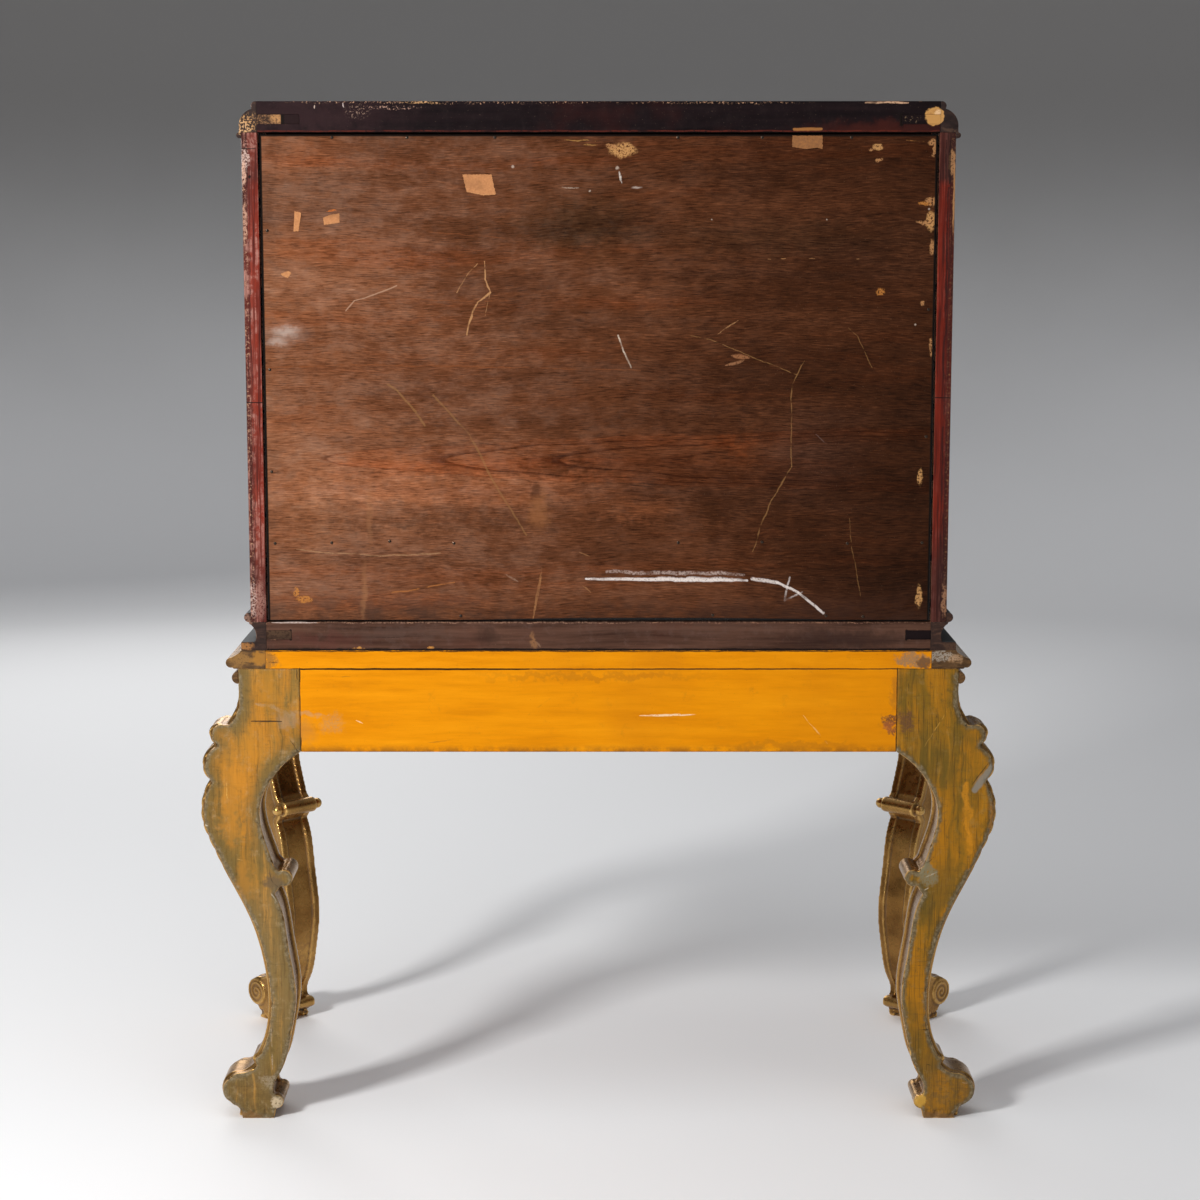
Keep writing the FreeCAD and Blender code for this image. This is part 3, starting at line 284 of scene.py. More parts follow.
    def lined(self, place: Socket, under: Socket, centre: Triple, half: Triple, *lines: Spot) -> Socket:
        """Lay gilt lines, each of an inset and a width, round a panel."""
        panel = {"Place": place, "Centre": centre, "Half": half}
        for inset, width in lines:
            line = self.use(Effect.BORDER, **panel, Inset=inset, Width=width)["Mask"]
            under = self.mix(line, under, GILT_LINE)
        return under

    def bump(self, height: Socket, strength: float, distance: float = 0.0006) -> Socket:
        """Give a normal raised by a height."""
        return self.node("Bump", {"Strength": strength, "Distance": distance, "Height": height}).outputs[0]

    def coat(self, shader: Node, colour: Socket, rough: object, normal: Socket | None = None,
             **more: object) -> None:
        """Wire a finish into its shader.

        Args:
            shader: the material's shader.
            colour: its base colour.
            rough: its roughness.
            normal: its normal, where the surface has relief.
            more: other inputs, by name with a low line for each space.
        """
        wires = {"Base_Color": colour, "Roughness": rough, **more}
        if normal is not None:
            wires["Normal"] = normal
        for name, value in wires.items():
            self.wire(shader.inputs[name.replace("_", " ")], value)


class EffectBook:
    """Builds each shared node group once."""

    @classmethod
    def group(cls, effect: Effect) -> bpy.types.NodeTree:
        """Give a group, building it at its first use."""
        found = bpy.data.node_groups.get(effect.value)
        return found or getattr(cls, effect.value)()

    @staticmethod
    def start(effect: Effect, vectors: Sequence[str], numbers: Sequence[str],
              *outputs: str) -> tuple[Graph, bpy.types.NodeOutputs, bpy.types.NodeInputs]:
        """Open a group with its sockets.

        Args:
            effect: the group to open.
            vectors: names of the vectors that it takes.
            numbers: names of the numbers that it takes.
            outputs: names of the numbers it gives.

        Returns:
            The graph, the sockets that feed it and the sockets that it fills.
        """
        tree = bpy.data.node_groups.new(effect.value, "ShaderNodeTree")
        kinds = dict.fromkeys(vectors, "NodeSocketVector") | dict.fromkeys(numbers, "NodeSocketFloat")
        for name, kind in kinds.items():
            tree.interface.new_socket(name=name, in_out="INPUT", socket_type=kind)
        for name in outputs:
            tree.interface.new_socket(name=name, in_out="OUTPUT", socket_type="NodeSocketFloat")
        fed, out = tree.nodes.new("NodeGroupInput").outputs, tree.nodes.new("NodeGroupOutput").inputs
        return Graph(tree), fed, out

    @classmethod
    def timber_grain(cls) -> bpy.types.NodeTree:
        """Build fine streaks and short pores along a board."""
        g, fed, out = cls.start(Effect.GRAIN, ("Place", "Stretch"), ("Wander",), "Streaks", "Pores")
        wandered = g.drift(fed["Place"], 3.0, fed["Wander"])
        along = g.vector("MULTIPLY", wandered, fed["Stretch"])
        g.wire(out["Streaks"], g.noise(along, 2.2, 7.0, 0.68))
        short = g.vector("MULTIPLY", wandered, g.vector("ADD", fed["Stretch"], (3.0, 3.0, 3.0)))
        g.wire(out["Pores"], g.span(g.noise(short, 13.0, 2.0, 0.5), 0.55, 0.68))
        return g.tree

    @classmethod
    def ragged_patch(cls) -> bpy.types.NodeTree:
        """Build a spot with a torn or feathered outline, broken into crumbs above a bar."""
        g, fed, out = cls.start(Effect.PATCH, ("Place", "Shake", "Sway", "Centre", "Half"),
                                ("Cloud", "Ragged", "Soft", "Bar"), "Mask")
        torn = g.vector("ADD", fed["Place"], g.scaled(fed["Shake"], g.times(fed["Ragged"], 2.6)))
        torn = g.vector("ADD", torn, g.scaled(fed["Sway"], g.times(fed["Ragged"], 4.0)))
        reach = g.measure("LENGTH",
                          g.vector("DIVIDE", g.vector("SUBTRACT", torn, fed["Centre"]), fed["Half"]))
        solid = g.span(reach, g.math("ADD", 1.0, fed["Soft"]), g.rest(fed["Soft"]))
        kept = g.past(fed["Cloud"], fed["Bar"], 0.03, 0.03)
        g.wire(out["Mask"], g.times(solid, kept))
        return g.tree

    @classmethod
    def ragged_stroke(cls) -> bpy.types.NodeTree:
        """Build a scratch, crack or chalk stroke between two points, thinned and broken along its way."""
        g, fed, out = cls.start(Effect.STROKE, ("Place", "Shake", "Sway", "From", "To"),
                                ("Cloud", "Slow", "Width", "Ragged", "Bow", "Taper", "Broken"), "Mask")
        torn = g.vector("ADD", fed["Place"], g.scaled(fed["Shake"], fed["Ragged"]))
        torn = g.vector("ADD", torn, g.scaled(fed["Sway"], g.times(fed["Ragged"], 4.0)))
        away = g.vector("SUBTRACT", torn, fed["From"])
        line = g.vector("SUBTRACT", fed["To"], fed["From"])
        share = g.math("DIVIDE", g.measure("DOT_PRODUCT", away, line),
                       g.measure("DOT_PRODUCT", line, line), clamp=True)
        sideways = g.vector("NORMALIZE", g.vector("CROSS_PRODUCT", line, (0.0, 1.0, 0.0)))
        from_middle = g.math("POWER", g.math("MULTIPLY_ADD", share, 2.0, -1.0), 2.0)
        bend = g.times(fed["Bow"], g.rest(from_middle))
        gap = g.measure("DISTANCE", away, g.vector("ADD", g.scaled(line, share), g.scaled(sideways, bend)))
        thinned = g.rest(g.times(fed["Taper"], from_middle))
        half = g.times(fed["Width"], 0.5, thinned)
        solid = g.span(gap, g.times(half, 1.3), g.times(half, 0.6))
        kept = g.past(fed["Cloud"], fed["Broken"], 0.1, 0.1)
        along = g.past(fed["Slow"], fed["Broken"], 0.16, 0.14, 0.15, 1.0)
        g.wire(out["Mask"], g.times(solid, kept, along))
        return g.tree

    @classmethod
    def grime(cls) -> bpy.types.NodeTree:
        """Build broad blotches, rubbed clouds and small specks."""
        g, fed, out = cls.start(Effect.GRIME, ("Place",), ("Scale",), "Blotch", "Rubbed", "Specks")
        scale = fed["Scale"]
        g.wire(out["Blotch"], g.noise(fed["Place"], scale, 4.0, 0.5))
        g.wire(out["Rubbed"], g.noise(fed["Place"], g.times(scale, 7.0), 5.0, 0.7))
        specks = g.noise(fed["Place"], 420.0, 2.0, 0.6)
        g.wire(out["Specks"], g.span(specks, 0.66, 0.74))
        return g.tree

    @classmethod
    def gilt_border(cls) -> bpy.types.NodeTree:
        """Build a thin line that runs at an inset round a panel, rubbed through in places."""
        g, fed, out = cls.start(Effect.BORDER, ("Place", "Centre", "Half"), ("Inset", "Width"), "Mask")
        away = g.vector("ABSOLUTE", g.vector("SUBTRACT", fed["Place"], fed["Centre"]))
        inside = g.axes(g.vector("SUBTRACT", fed["Half"], away))
        nearest = g.math("MINIMUM", g.math("MINIMUM", inside[0], inside[1]), inside[2])
        gap = g.math("ABSOLUTE", g.math("SUBTRACT", nearest, fed["Inset"]))
        half = g.times(fed["Width"], 0.5)
        line = g.rest(g.span(gap, g.times(half, 0.75), g.times(half, 1.2)))
        kept = g.span(g.noise(fed["Place"], 70.0, 5.0, 0.7), 0.36, 0.46)
        g.wire(out["Mask"], g.times(line, kept))
        return g.tree

    @classmethod
    def edge_rub(cls) -> bpy.types.NodeTree:
        """Build broken wear on the eased edges of a board, from its rim attribute."""
        g, fed, out = cls.start(Effect.RUB, ("Place",), ("Rim", "Amount"), "Mask")
        cloud = g.noise(fed["Place"], 46.0, 6.0, 0.72)
        bar = g.math("SUBTRACT", 0.78, g.times(fed["Amount"], 0.5))
        worn = g.past(cloud, bar, 0.05, 0.05)
        g.wire(out["Mask"], g.times(worn, fed["Rim"]))
        return g.tree


@dataclass(frozen=True)
class Weather:
    """Noises that tear and break the marks of one finish, laid once for all of them."""

    flat: Socket
    shake: Socket
    sway: Socket
    cloud: Socket
    slow: Socket

    def wires(self) -> dict[str, Socket]:
        """Give the inputs that the group of every mark takes."""
        return {"Place": self.flat, "Shake": self.shake, "Sway": self.sway, "Cloud": self.cloud}

    @classmethod
    def over(cls, g: Graph, place: Socket) -> "Weather":
        """Lay the noises over the flattened coordinates of the back."""
        flat = g.vector("MULTIPLY", place, (1.0, 0.0, 1.0))
        return cls(flat, g.shiver(flat, 150.0), g.shiver(flat, 40.0), g.noise(flat, 330.0, 4.0, 0.7),
                   g.noise(flat, 38.0, 2.0))


@dataclass(frozen=True)
class Patch:
    """A worn, stained or chipped spot on the back, placed by x and z."""

    centre: Spot
    half: Spot
    colour: Colour
    share: float = 0.85
    ragged: float = 3.0
    soft: float = 0.15
    bar: float = 0.0
    blend: str = "MIX"

    def mask(self, g: Graph, weather: Weather) -> Socket:
        """Give the spot's mask."""
        (x, z), (wide, high) = self.centre, self.half
        return g.use(Effect.PATCH, **weather.wires(), Centre=(x * MILLI, 0.0, z * MILLI),
                     Half=(wide * MILLI, 1.0, high * MILLI), Ragged=self.ragged * MILLI, Soft=self.soft,
                     Bar=self.bar)["Mask"]

    def reach(self) -> Spot:
        """Give the lowest and highest x of the spot, with room for its torn edge."""
        room = self.half[0] * (1.0 + self.soft) + 4.0 * self.ragged
        return self.centre[0] - room, self.centre[0] + room


@dataclass(frozen=True)
class Scratch:
    """A scratch, crack or chalk stroke on the back, from one x and z to another."""

    start: Spot
    end: Spot
    width: float
    colour: Colour
    share: float = 0.7
    ragged: float = 1.5
    broken: float = 0.42
    bow: float = 0.0
    taper: float = 0.6
    blend: str = "MIX"

    def mask(self, g: Graph, weather: Weather) -> Socket:
        """Give the stroke's mask."""
        (x, z), (to_x, to_z) = self.start, self.end
        return g.use(Effect.STROKE, **weather.wires(), Slow=weather.slow, From=(x * MILLI, 0.0, z * MILLI),
                     To=(to_x * MILLI, 0.0, to_z * MILLI), Width=self.width * MILLI,
                     Ragged=self.ragged * MILLI, Bow=self.bow * MILLI, Taper=self.taper,
                     Broken=self.broken)["Mask"]

    def reach(self) -> Spot:
        """Give the lowest and highest x of the stroke, with room for its bend and torn edge."""
        room = self.width + abs(self.bow) + 4.0 * self.ragged
        return min(self.start[0], self.end[0]) - room, max(self.start[0], self.end[0]) + room


Mark = Patch | Scratch

TAN: Colour = (400, 190, 75)
OLIVE_TAN: Colour = (270, 135, 48)
ORANGE: Colour = (380, 135, 36)
SMEAR: Colour = (500, 400, 340)
# Near-black for painted shadow in gaps, slot ends and cracks.
GAP_SHADOW: Colour = (8, 5, 4)
CORNER_CHIP = Patch((-470, 1457.5), (12.8, 12.5), (520, 265, 80), 0.95, 3, 0.08)


def thousandths(colour: Colour) -> Colour:
    """Give the shares of a colour that is held in thousandths."""
    return tuple(value * MILLI for value in colour)


GAP_SHADE = thousandths(GAP_SHADOW)
GILT_LINE: Colour = (0.47, 0.27, 0.075)


def run_of(path: Sequence[Spot], width: float, colour: Colour, share: float,
           **more: float) -> tuple[Mark, ...]:
    """Give a stroke that goes through several points.

    Args:
        path: its points, as x and z.
        width: its width.
        colour: its colour.
        share: how much of it covers.
        more: other fields of its scratches.

    Returns:
        One scratch for each stretch.
    """
    return tuple(Scratch(start, end, width, colour, share, **more) for start, end in zip(path, path[1:]))


@dataclass(frozen=True)
class Finish:
    """A finish that makes its material once."""

    name: str

    def material(self) -> bpy.types.Material:
        """Give the finish's material."""
        found = bpy.data.materials.get(self.name)
        if found:
            return found
        material = bpy.data.materials.new(self.name)
        material.use_nodes = True
        self.paint(Graph(material.node_tree), material.node_tree.nodes["Principled BSDF"])
        return material

    def paint(self, g: Graph, shader: Node) -> None:
        """Wire the finish into the material's shader."""
        raise NotImplementedError

    @staticmethod
    def lay(g: Graph, place: Socket, under: Socket, marks: Sequence[Mark]) -> Socket:
        """Lay marks over a colour.

        Args:
            g: the material's graph.
            place: object coordinates.
            under: the colour below.
            marks: patches and scratches, the lowest first.

        Returns:
            The colour with the marks.
        """
        weather = Weather.over(g, place)
        for mark in marks:
            share = g.times(mark.mask(g, weather), mark.share)
            under = g.mix(share, under, thousandths(mark.colour), mark.blend)
        return under


@dataclass(frozen=True)
class BackVeneer(Finish):
    """Dry brown veneer of the back, with its stains, scuffs and chalk strokes."""

    marks: tuple[Mark, ...] = ()

    def paint(self, g: Graph, shader: Node) -> None:
        """Wire streaked veneer with a pointed figure, stains and marks, painted lighter towards +X and
        darker towards -X as light and shade.
        """
        place = g.place()
        x, _, z = g.axes(place)
        wavy = g.drift(g.drift(place, 1.7, 0.05), 8.0, 0.007)
        bands = g.drawn(wavy, (0.8, 1.0, 11.0), 4.0)
        streaks = g.drawn(wavy, (5.0, 1.0, 150.0), 4.0)
        fibre = g.drawn(wavy, (60.0, 1.0, 760.0), 3.0)
        grime = g.use(Effect.GRIME, Place=g.vector("MULTIPLY", place, (1.0, 1.0, 1.6)), Scale=3.2)
        mottle = g.drawn(g.drift(place, 30.0, 0.02), (46.0, 1.0, 62.0), 5.0)
        # Painted light and shade: the tone is raised towards +X, the key lamp's side, and lowered towards
        # -X.
        tone = g.weigh(g.span(x, -0.7, 0.7, 0.14, 0.76), (bands, 0.52), (streaks, 0.2), (fibre, 0.66),
                       (grime["Blotch"], 0.5), (grime["Rubbed"], 0.26), (mottle, 0.34))
        colour = g.ramp(tone, (0.0, (0.018, 0.0056, 0.0024)), (0.28, (0.05, 0.0155, 0.006)),
                        (0.52, (0.112, 0.037, 0.0145)), (0.75, (0.205, 0.077, 0.035)),
                        (1.0, (0.33, 0.145, 0.075)))
        warm = g.drawn(wavy, (1.6, 1.0, 26.0))
        colour = g.tint(g.span(warm, 0.52, 0.7, 0.0, 0.5), colour, (1.3, 0.98, 0.7))
        colour = g.tint(g.span(warm, 0.48, 0.32, 0.0, 0.5), colour, (0.78, 0.88, 1.08))
        smoky = g.times(g.span(mottle, 0.5, 0.66), g.span(x, -0.3, 0.4, 0.2, 0.62))
        colour = g.tint(smoky, colour, (0.7, 0.76, 0.86))
        colour = self.figure(g, place, colour)
        dashes = g.drawn(wavy, (62.0, 1.0, 820.0), 2.0)
        pores = g.span(dashes, 0.54, 0.68)
        colour = g.tint(g.times(pores, 0.8), colour, (0.42, 0.38, 0.36))
        colour = g.tint(g.span(dashes, 0.46, 0.3, 0.0, 0.8), colour, (1.45, 1.45, 1.42))
        # Dust with a painted sheen: a pale veil on the rubbed clouds, strongest towards +X where the key
        # lamp's reflection falls.
        dust_and_sheen = g.times(g.span(grime["Rubbed"], 0.42, 0.72), g.span(x, -0.35, 0.5, 0.0, 0.2))
        colour = g.mix(dust_and_sheen, colour, (0.33, 0.2, 0.14))
        colour = g.mix(g.times(grime["Specks"], 0.22), colour, (0.34, 0.2, 0.12))
        low = g.times(g.span(z, 0.8, 0.748, 0.0, 0.75), g.span(grime["Rubbed"], 0.3, 0.62))
        colour = g.mix(low, colour, (0.034, 0.0145, 0.0095))
        colour = self.lay(g, place, colour, self.marks)
        # Painted shadow: the panel's edges are darkened to the gap shade where they meet the frame.
        rim = g.math("MAXIMUM", g.span(g.math("ABSOLUTE", x), 0.4712, 0.4724), g.span(z, 1.4298, 1.4312))
        colour = g.mix(rim, colour, GAP_SHADE)
        relief = g.math("SUBTRACT", g.times(streaks, 0.6), pores)
        g.coat(shader, colour, g.dulled(grime, 0.4, 0.56),
               g.bump(relief, 0.3), Specular_IOR_Level=0.09, Specular_Tint=(1.0, 0.74, 0.54, 1.0))

    @staticmethod
    def figure(g: Graph, place: Socket, under: Socket) -> Socket:
        """Lay the pointed figure of the heart wood, whose rings close towards +X.

        Args:
            g: the material's graph.
            place: object coordinates.
            under: the colour below.

        Returns:
            The colour with fine red-brown rings in a warmer field.
        """
        x, _, z = g.axes(g.drift(place, 7.0, 0.016))
        off = g.math("SUBTRACT", z, 0.977)
        fold = g.math("MULTIPLY_ADD", g.times(off, off), 380.0, x)
        within = g.times(g.span(fold, 0.4, 0.385), g.span(fold, -0.34, 0.1))
        under = g.tint(g.times(within, 0.5), under, (1.3, 1.06, 0.86))
        rings = g.math("FRACT", g.math("MULTIPLY_ADD", fold, 6.0, -0.3))
        line = g.times(g.span(rings, 0.0, 0.03), g.span(rings, 0.3, 0.04))
        return g.tint(g.times(line, within, 0.88), under, (0.4, 0.3, 0.25))


@dataclass(frozen=True)
class SideLacquer(Finish):
    """Case sides: black outside with gilt lines, red inside."""

    def paint(self, g: Graph, shader: Node) -> None:
        """Wire the two faces of a side by their place."""
        place = g.place()
        grime = g.grime(place, 7.0)
        black = g.mix(g.span(grime["Rubbed"], 0.5, 0.75, 0.0, 0.35), (0.0075, 0.0065, 0.0062),
                      (0.02, 0.016, 0.014))
        black = g.lined(place, black, (0.0, 0.0487, 1.0895), (FAR, 0.2345, 0.3465), (0.03, 0.0032),
                        (0.037, 0.0012))
        red = g.ramp(grime["Blotch"], (0.35, (0.17, 0.016, 0.01)), (0.65, (0.26, 0.027, 0.015)))
        reach = g.math("ABSOLUTE", g.axes(place)[0])
        colour = g.mix(g.span(reach, INNER_HALF + 0.0012, INNER_HALF + 0.0004), black, red)
        colour = g.worn(place, colour, (0.26, 0.105, 0.055), 0.62, 0.8)
        g.coat(shader, colour, g.span(grime["Rubbed"], 0.35, 0.75, 0.195, 0.215),
               g.bump(grime["Rubbed"], 0.012, 0.0005), Specular_IOR_Level=0.45)


@dataclass(frozen=True)
class StileEdge(Finish):
    """Back edges of the case sides: dull red over black, flaked along the outer corner."""

    marks: tuple[Mark, ...] = ()

    def paint(self, g: Graph, shader: Node) -> None:
        """Wire streaked red, darker outside, with flakes and marks, and lightened on the +X stile as
        painted light.
        """
        place = g.place()
        x, _, z = g.axes(place)
        reach = g.math("ABSOLUTE", x)
        grime = g.grime(place, 9.0)
        streaks = g.drawn(g.drift(place, 20.0, 0.003), (330.0, 1.0, 9.0), 4.0)
        tone = g.weigh(0.5, (streaks, 0.9), (grime["Blotch"], 0.7))
        colour = g.ramp(tone, (0.15, (0.024, 0.0045, 0.0034)), (0.48, (0.09, 0.01, 0.0056)),
                        (0.8, (0.185, 0.02, 0.0094)))
        # Painted light: the stile at +X, on the key lamp's side, is lightened as if lit; the one at -X
        # keeps the darker red.
        pale = g.span(x, -0.1, 0.1)
        colour = g.tint(pale, colour, (1.55, 2.3, 2.7))
        middle = g.times(g.span(z, 0.8, 0.92), g.span(z, 1.375, 1.36))
        ends = g.times(g.rest(middle), g.by_side(x, 0.9, 0.45))
        colour = g.mix(ends, colour,
                       g.ramp(streaks, (0.3, (0.012, 0.006, 0.0052)), (0.7, (0.068, 0.025, 0.019))))
        inner = g.times(g.span(reach, 0.4885, 0.4835), g.span(middle, 0.0, 1.0, 0.12, 0.6))
        colour = g.mix(inner, colour,
                       g.ramp(streaks, (0.3, (0.12, 0.011, 0.005)), (0.7, (0.215, 0.023, 0.0105))))
        colour = g.veil(colour, (0.026, 0.0095, 0.0085), reach, 0.4905, 0.4935, 0.62)
        flake = g.span(g.noise(place, 240.0, 5.0, 0.75), 0.54, 0.58)
        flake = g.times(flake, g.span(reach, 0.4915, 0.4965))
        flake = g.times(flake, g.by_side(x, 0.45, 0.85))
        colour = g.mix(flake, colour,
                       g.mix(g.math("GREATER_THAN", x, 0.0), (0.26, 0.125, 0.05), (0.46, 0.245, 0.15)))
        # Pale rubbed streaks, partly dry lacquer and partly a painted sheen, stronger on the lit +X stile.
        dry_and_sheen = g.times(g.span(streaks, 0.44, 0.66), g.span(grime["Rubbed"], 0.44, 0.62))
        colour = g.mix(g.times(dry_and_sheen, g.span(pale, 0.0, 1.0, 0.1, 0.8)), colour, (0.4, 0.19, 0.15))
        murk = g.times(g.span(streaks, 0.5, 0.34), g.span(grime["Blotch"], 0.4, 0.62, 0.25, 0.8))
        colour = g.mix(murk, colour, (0.03, 0.0095, 0.008))
        colour = g.mix(g.times(g.span(reach, 0.4772, 0.4764), g.span(streaks, 0.36, 0.6, 0.3, 1.0)), colour,
                       (0.3, 0.03, 0.012))
        # Painted shadow in the gap beside the panel.
        colour = g.mix(g.span(reach, 0.4758, 0.4752), colour, GAP_SHADE)
        g.coat(shader, self.lay(g, place, colour, self.marks), g.dulled(grime, 0.38, 0.58),
               g.bump(g.math("ADD", streaks, flake), 0.35), Specular_IOR_Level=0.1)


@dataclass(frozen=True)
class RailStain(Finish):
    """Dark stain of the back rails, dusty, with chipped edges."""

    dark: Colour = (0.0042, 0.0024, 0.0029)
    light: Colour = (0.012, 0.0062, 0.007)
    dust: float = 0.03
    rub: float = 0.26
    marks: tuple[Mark, ...] = ()

    def paint(self, g: Graph, shader: Node) -> None:
        """Wire stained streaks with dust, chips and a red flash."""
        place = g.place()
        grain = g.grain(place, Run.X.value, 0.012)
        grime = g.grime(place, 9.0)
        colour = g.ramp(grain["Streaks"], (0.3, self.dark), (0.72, self.light))
        colour = g.veil(colour, (0.155, 0.095, 0.078), grime["Rubbed"], 0.5, 0.72, self.dust)
        colour = g.veil(colour, (0.06, 0.0095, 0.0055), grime["Blotch"], 0.54, 0.7, 0.24)
        colour = g.mix(g.times(grime["Specks"], 0.22), colour, (0.3, 0.2, 0.14))
        colour = g.worn(place, colour, (0.36, 0.19, 0.11), self.rub, 0.85)
        g.coat(shader, self.lay(g, place, colour, self.marks), g.dulled(grime, 0.42, 0.62),
               g.bump(grain["Streaks"], 0.3), Specular_IOR_Level=0.07)


@dataclass(frozen=True)
class KeyWood(Finish):
    """Slip keys of the corners: pale, stained or dark by corner."""

    marks: tuple[Mark, ...] = ()

    def paint(self, g: Graph, shader: Node) -> None:
        """Wire each corner's own tone."""
        place = g.place()
        x, _, z = g.axes(place)
        grain = g.grain(place, Run.X.value, 0.01)
        grime = g.grime(place, 34.0)
        pale = g.ramp(grain["Streaks"], (0.3, (0.11, 0.052, 0.024)), (0.7, (0.29, 0.15, 0.072)))
        dark = g.ramp(grain["Streaks"], (0.3, (0.0042, 0.0024, 0.0029)), (0.75, (0.015, 0.0072, 0.0074)))
        olive = g.ramp(grain["Streaks"], (0.3, (0.032, 0.017, 0.0115)), (0.75, (0.105, 0.058, 0.031)))
        left = g.math("GREATER_THAN", x, 0.0)
        colour = g.mix(g.span(z, 1.0, 1.1), g.mix(left, dark, olive), g.mix(left, dark, pale))
        dirt = g.times(left, g.span(grime["Rubbed"], 0.48, 0.58, 0.0, 0.8))
        colour = g.mix(dirt, colour, (0.03, 0.0145, 0.01))
        g.coat(shader, self.lay(g, place, colour, self.marks), g.dulled(grime, 0.5, 0.7),
               g.bump(grain["Streaks"], 0.4), Specular_IOR_Level=0.07)


@dataclass(frozen=True)
class SawnEnd(Finish):
    """Ends of the mouldings in the flat back: streaked along the moulding's edge, dirty and chipped."""

    dark: Colour = (0.01, 0.0052, 0.0048)
    middle: Colour = (0.03, 0.015, 0.0115)
    light: Colour = (0.11, 0.052, 0.03)
    marks: tuple[Mark, ...] = ()

    def paint(self, g: Graph, shader: Node) -> None:
        """Wire streaks and the piece's own marks."""
        place = g.place()
        grime = g.grime(place, 26.0)
        streaks = g.drawn(g.drift(place, 30.0, 0.006), (70.0, 1.0, 260.0), 4.0)
        tone = g.weigh(0.5, (streaks, 0.9), (grime["Blotch"], 0.6))
        colour = g.ramp(tone, (0.25, self.dark), (0.55, self.middle), (0.85, self.light))
        colour = g.worn(place, colour, tuple(min(1.0, 2.2 * c) for c in self.light), 0.36, 0.7)
        g.coat(shader, self.lay(g, place, colour, self.marks), g.dulled(grime, 0.45, 0.65),
               g.bump(streaks, 0.45, 0.0008), Specular_IOR_Level=0.18)


@dataclass(frozen=True)
class BlackLacquer(Finish):
    """Black lacquer, rubbed brown on its edges, with gilt lines round a panel where it has one."""

    centre: Triple = (0.0, 0.0, 0.0)
    half: Triple | None = None
    inset: float = 0.026

    @classmethod
    def board(cls, name: str, node: str, inset: float, through: int = 1) -> "BlackLacquer":
        """Give the lacquer of a board with lines round its face.

        Args:
            name: the finish's name.
            node: the CAD node of the board.
            inset: how far the outer line is from the edge.
            through: the axis across the face.

        Returns:
            The lacquer.
        """
        low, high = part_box(node)
        half = (high - low) / 2
        half[through] = FAR
        return cls(name, tuple((low + high) / 2), tuple(half), inset)

    def paint(self, g: Graph, shader: Node) -> None:
        """Wire gloss, rubbing and gilt lines."""
        place = g.place()
        grime = g.grime(place, 8.0)
        colour = g.mix(g.span(grime["Rubbed"], 0.52, 0.76, 0.0, 0.4), (0.0048, 0.004, 0.0039),
                       (0.016, 0.0115, 0.01))
        if self.half is not None:
            lines = (self.inset, 0.003), (self.inset + 0.007, 0.0012)
            colour = g.lined(place, colour, self.centre, self.half, *lines)
        colour = g.worn(place, colour, (0.22, 0.098, 0.048), 0.56, 0.75)
        g.coat(shader, colour, g.span(grime["Rubbed"], 0.35, 0.75, 0.185, 0.205),
               g.bump(grime["Rubbed"], 0.012, 0.0005))


@dataclass(frozen=True)
class RedLacquer(Finish):
    """Red lacquer of the inside, rubbed on its edges and painted with the gap's shade beyond a depth."""

    gap_shade_from: float = 0.27

    def paint(self, g: Graph, shader: Node) -> None:
        """Wire clouded red with rubbed edges and fine dust."""
        place = g.place()
        grime = g.grime(place, 6.0)
        colour = g.ramp(grime["Blotch"], (0.34, (0.165, 0.015, 0.009)), (0.66, (0.275, 0.028, 0.015)))
        colour = g.veil(colour, (0.085, 0.012, 0.008), grime["Rubbed"], 0.55, 0.75, 0.25)
        colour = g.worn(place, colour, (0.03, 0.012, 0.01), 0.55)
        # Painted shade: beyond the depth the boards take the near-black of the gap.
        colour = g.mix(g.span(g.axes(place)[1], self.gap_shade_from, self.gap_shade_from + 0.0025), colour, GAP_SHADE)
        g.coat(shader, colour, g.span(grime["Rubbed"], 0.35, 0.75, 0.27, 0.31),
               g.bump(grime["Rubbed"], 0.008, 0.0005))


@dataclass(frozen=True)
class OchrePaint(Finish):
    """Ochre paint on the back of the stand, brushed, scuffed and dirty at its edges."""

    marks: tuple[Mark, ...] = ()

    def paint(self, g: Graph, shader: Node) -> None:
        """Wire brushed ochre with dirt, pits and scuffs."""
        place = g.place()
        _, _, z = g.axes(place)
        grain = g.grain(place, (3.0, 30.0, 34.0), 0.02)
        grime = g.grime(place, 5.0)
        colour = g.ramp(grain["Streaks"], (0.26, (0.6, 0.19, 0.0006)), (0.5, (0.73, 0.25, 0.001)),
                        (0.78, (0.83, 0.31, 0.004)))
        colour = g.veil(colour, (0.53, 0.17, 0.003), grime["Blotch"], 0.46, 0.7, 0.42)
        colour = g.veil(colour, (0.4, 0.145, 0.008), grime["Rubbed"], 0.58, 0.74, 0.35)
        colour = g.mix(g.times(grime["Specks"], 0.4), colour, (0.2, 0.07, 0.01))
        low = g.times(g.span(z, 0.566, 0.553), g.span(grime["Rubbed"], 0.35, 0.6))
        colour = g.mix(g.times(low, 0.7), colour, (0.19, 0.07, 0.01))
        colour = g.worn(place, colour, (0.16, 0.068, 0.018), 0.62)
        colour = self.lay(g, place, colour, self.marks)
        height = g.math("SUBTRACT", grain["Streaks"], g.times(grime["Specks"], 0.6))
        g.coat(shader, colour, g.dulled(grime, 0.42, 0.6),
               g.bump(height, 0.22), Specular_IOR_Level=0.12, Specular_Tint=(1.0, 0.8, 0.45, 1.0))


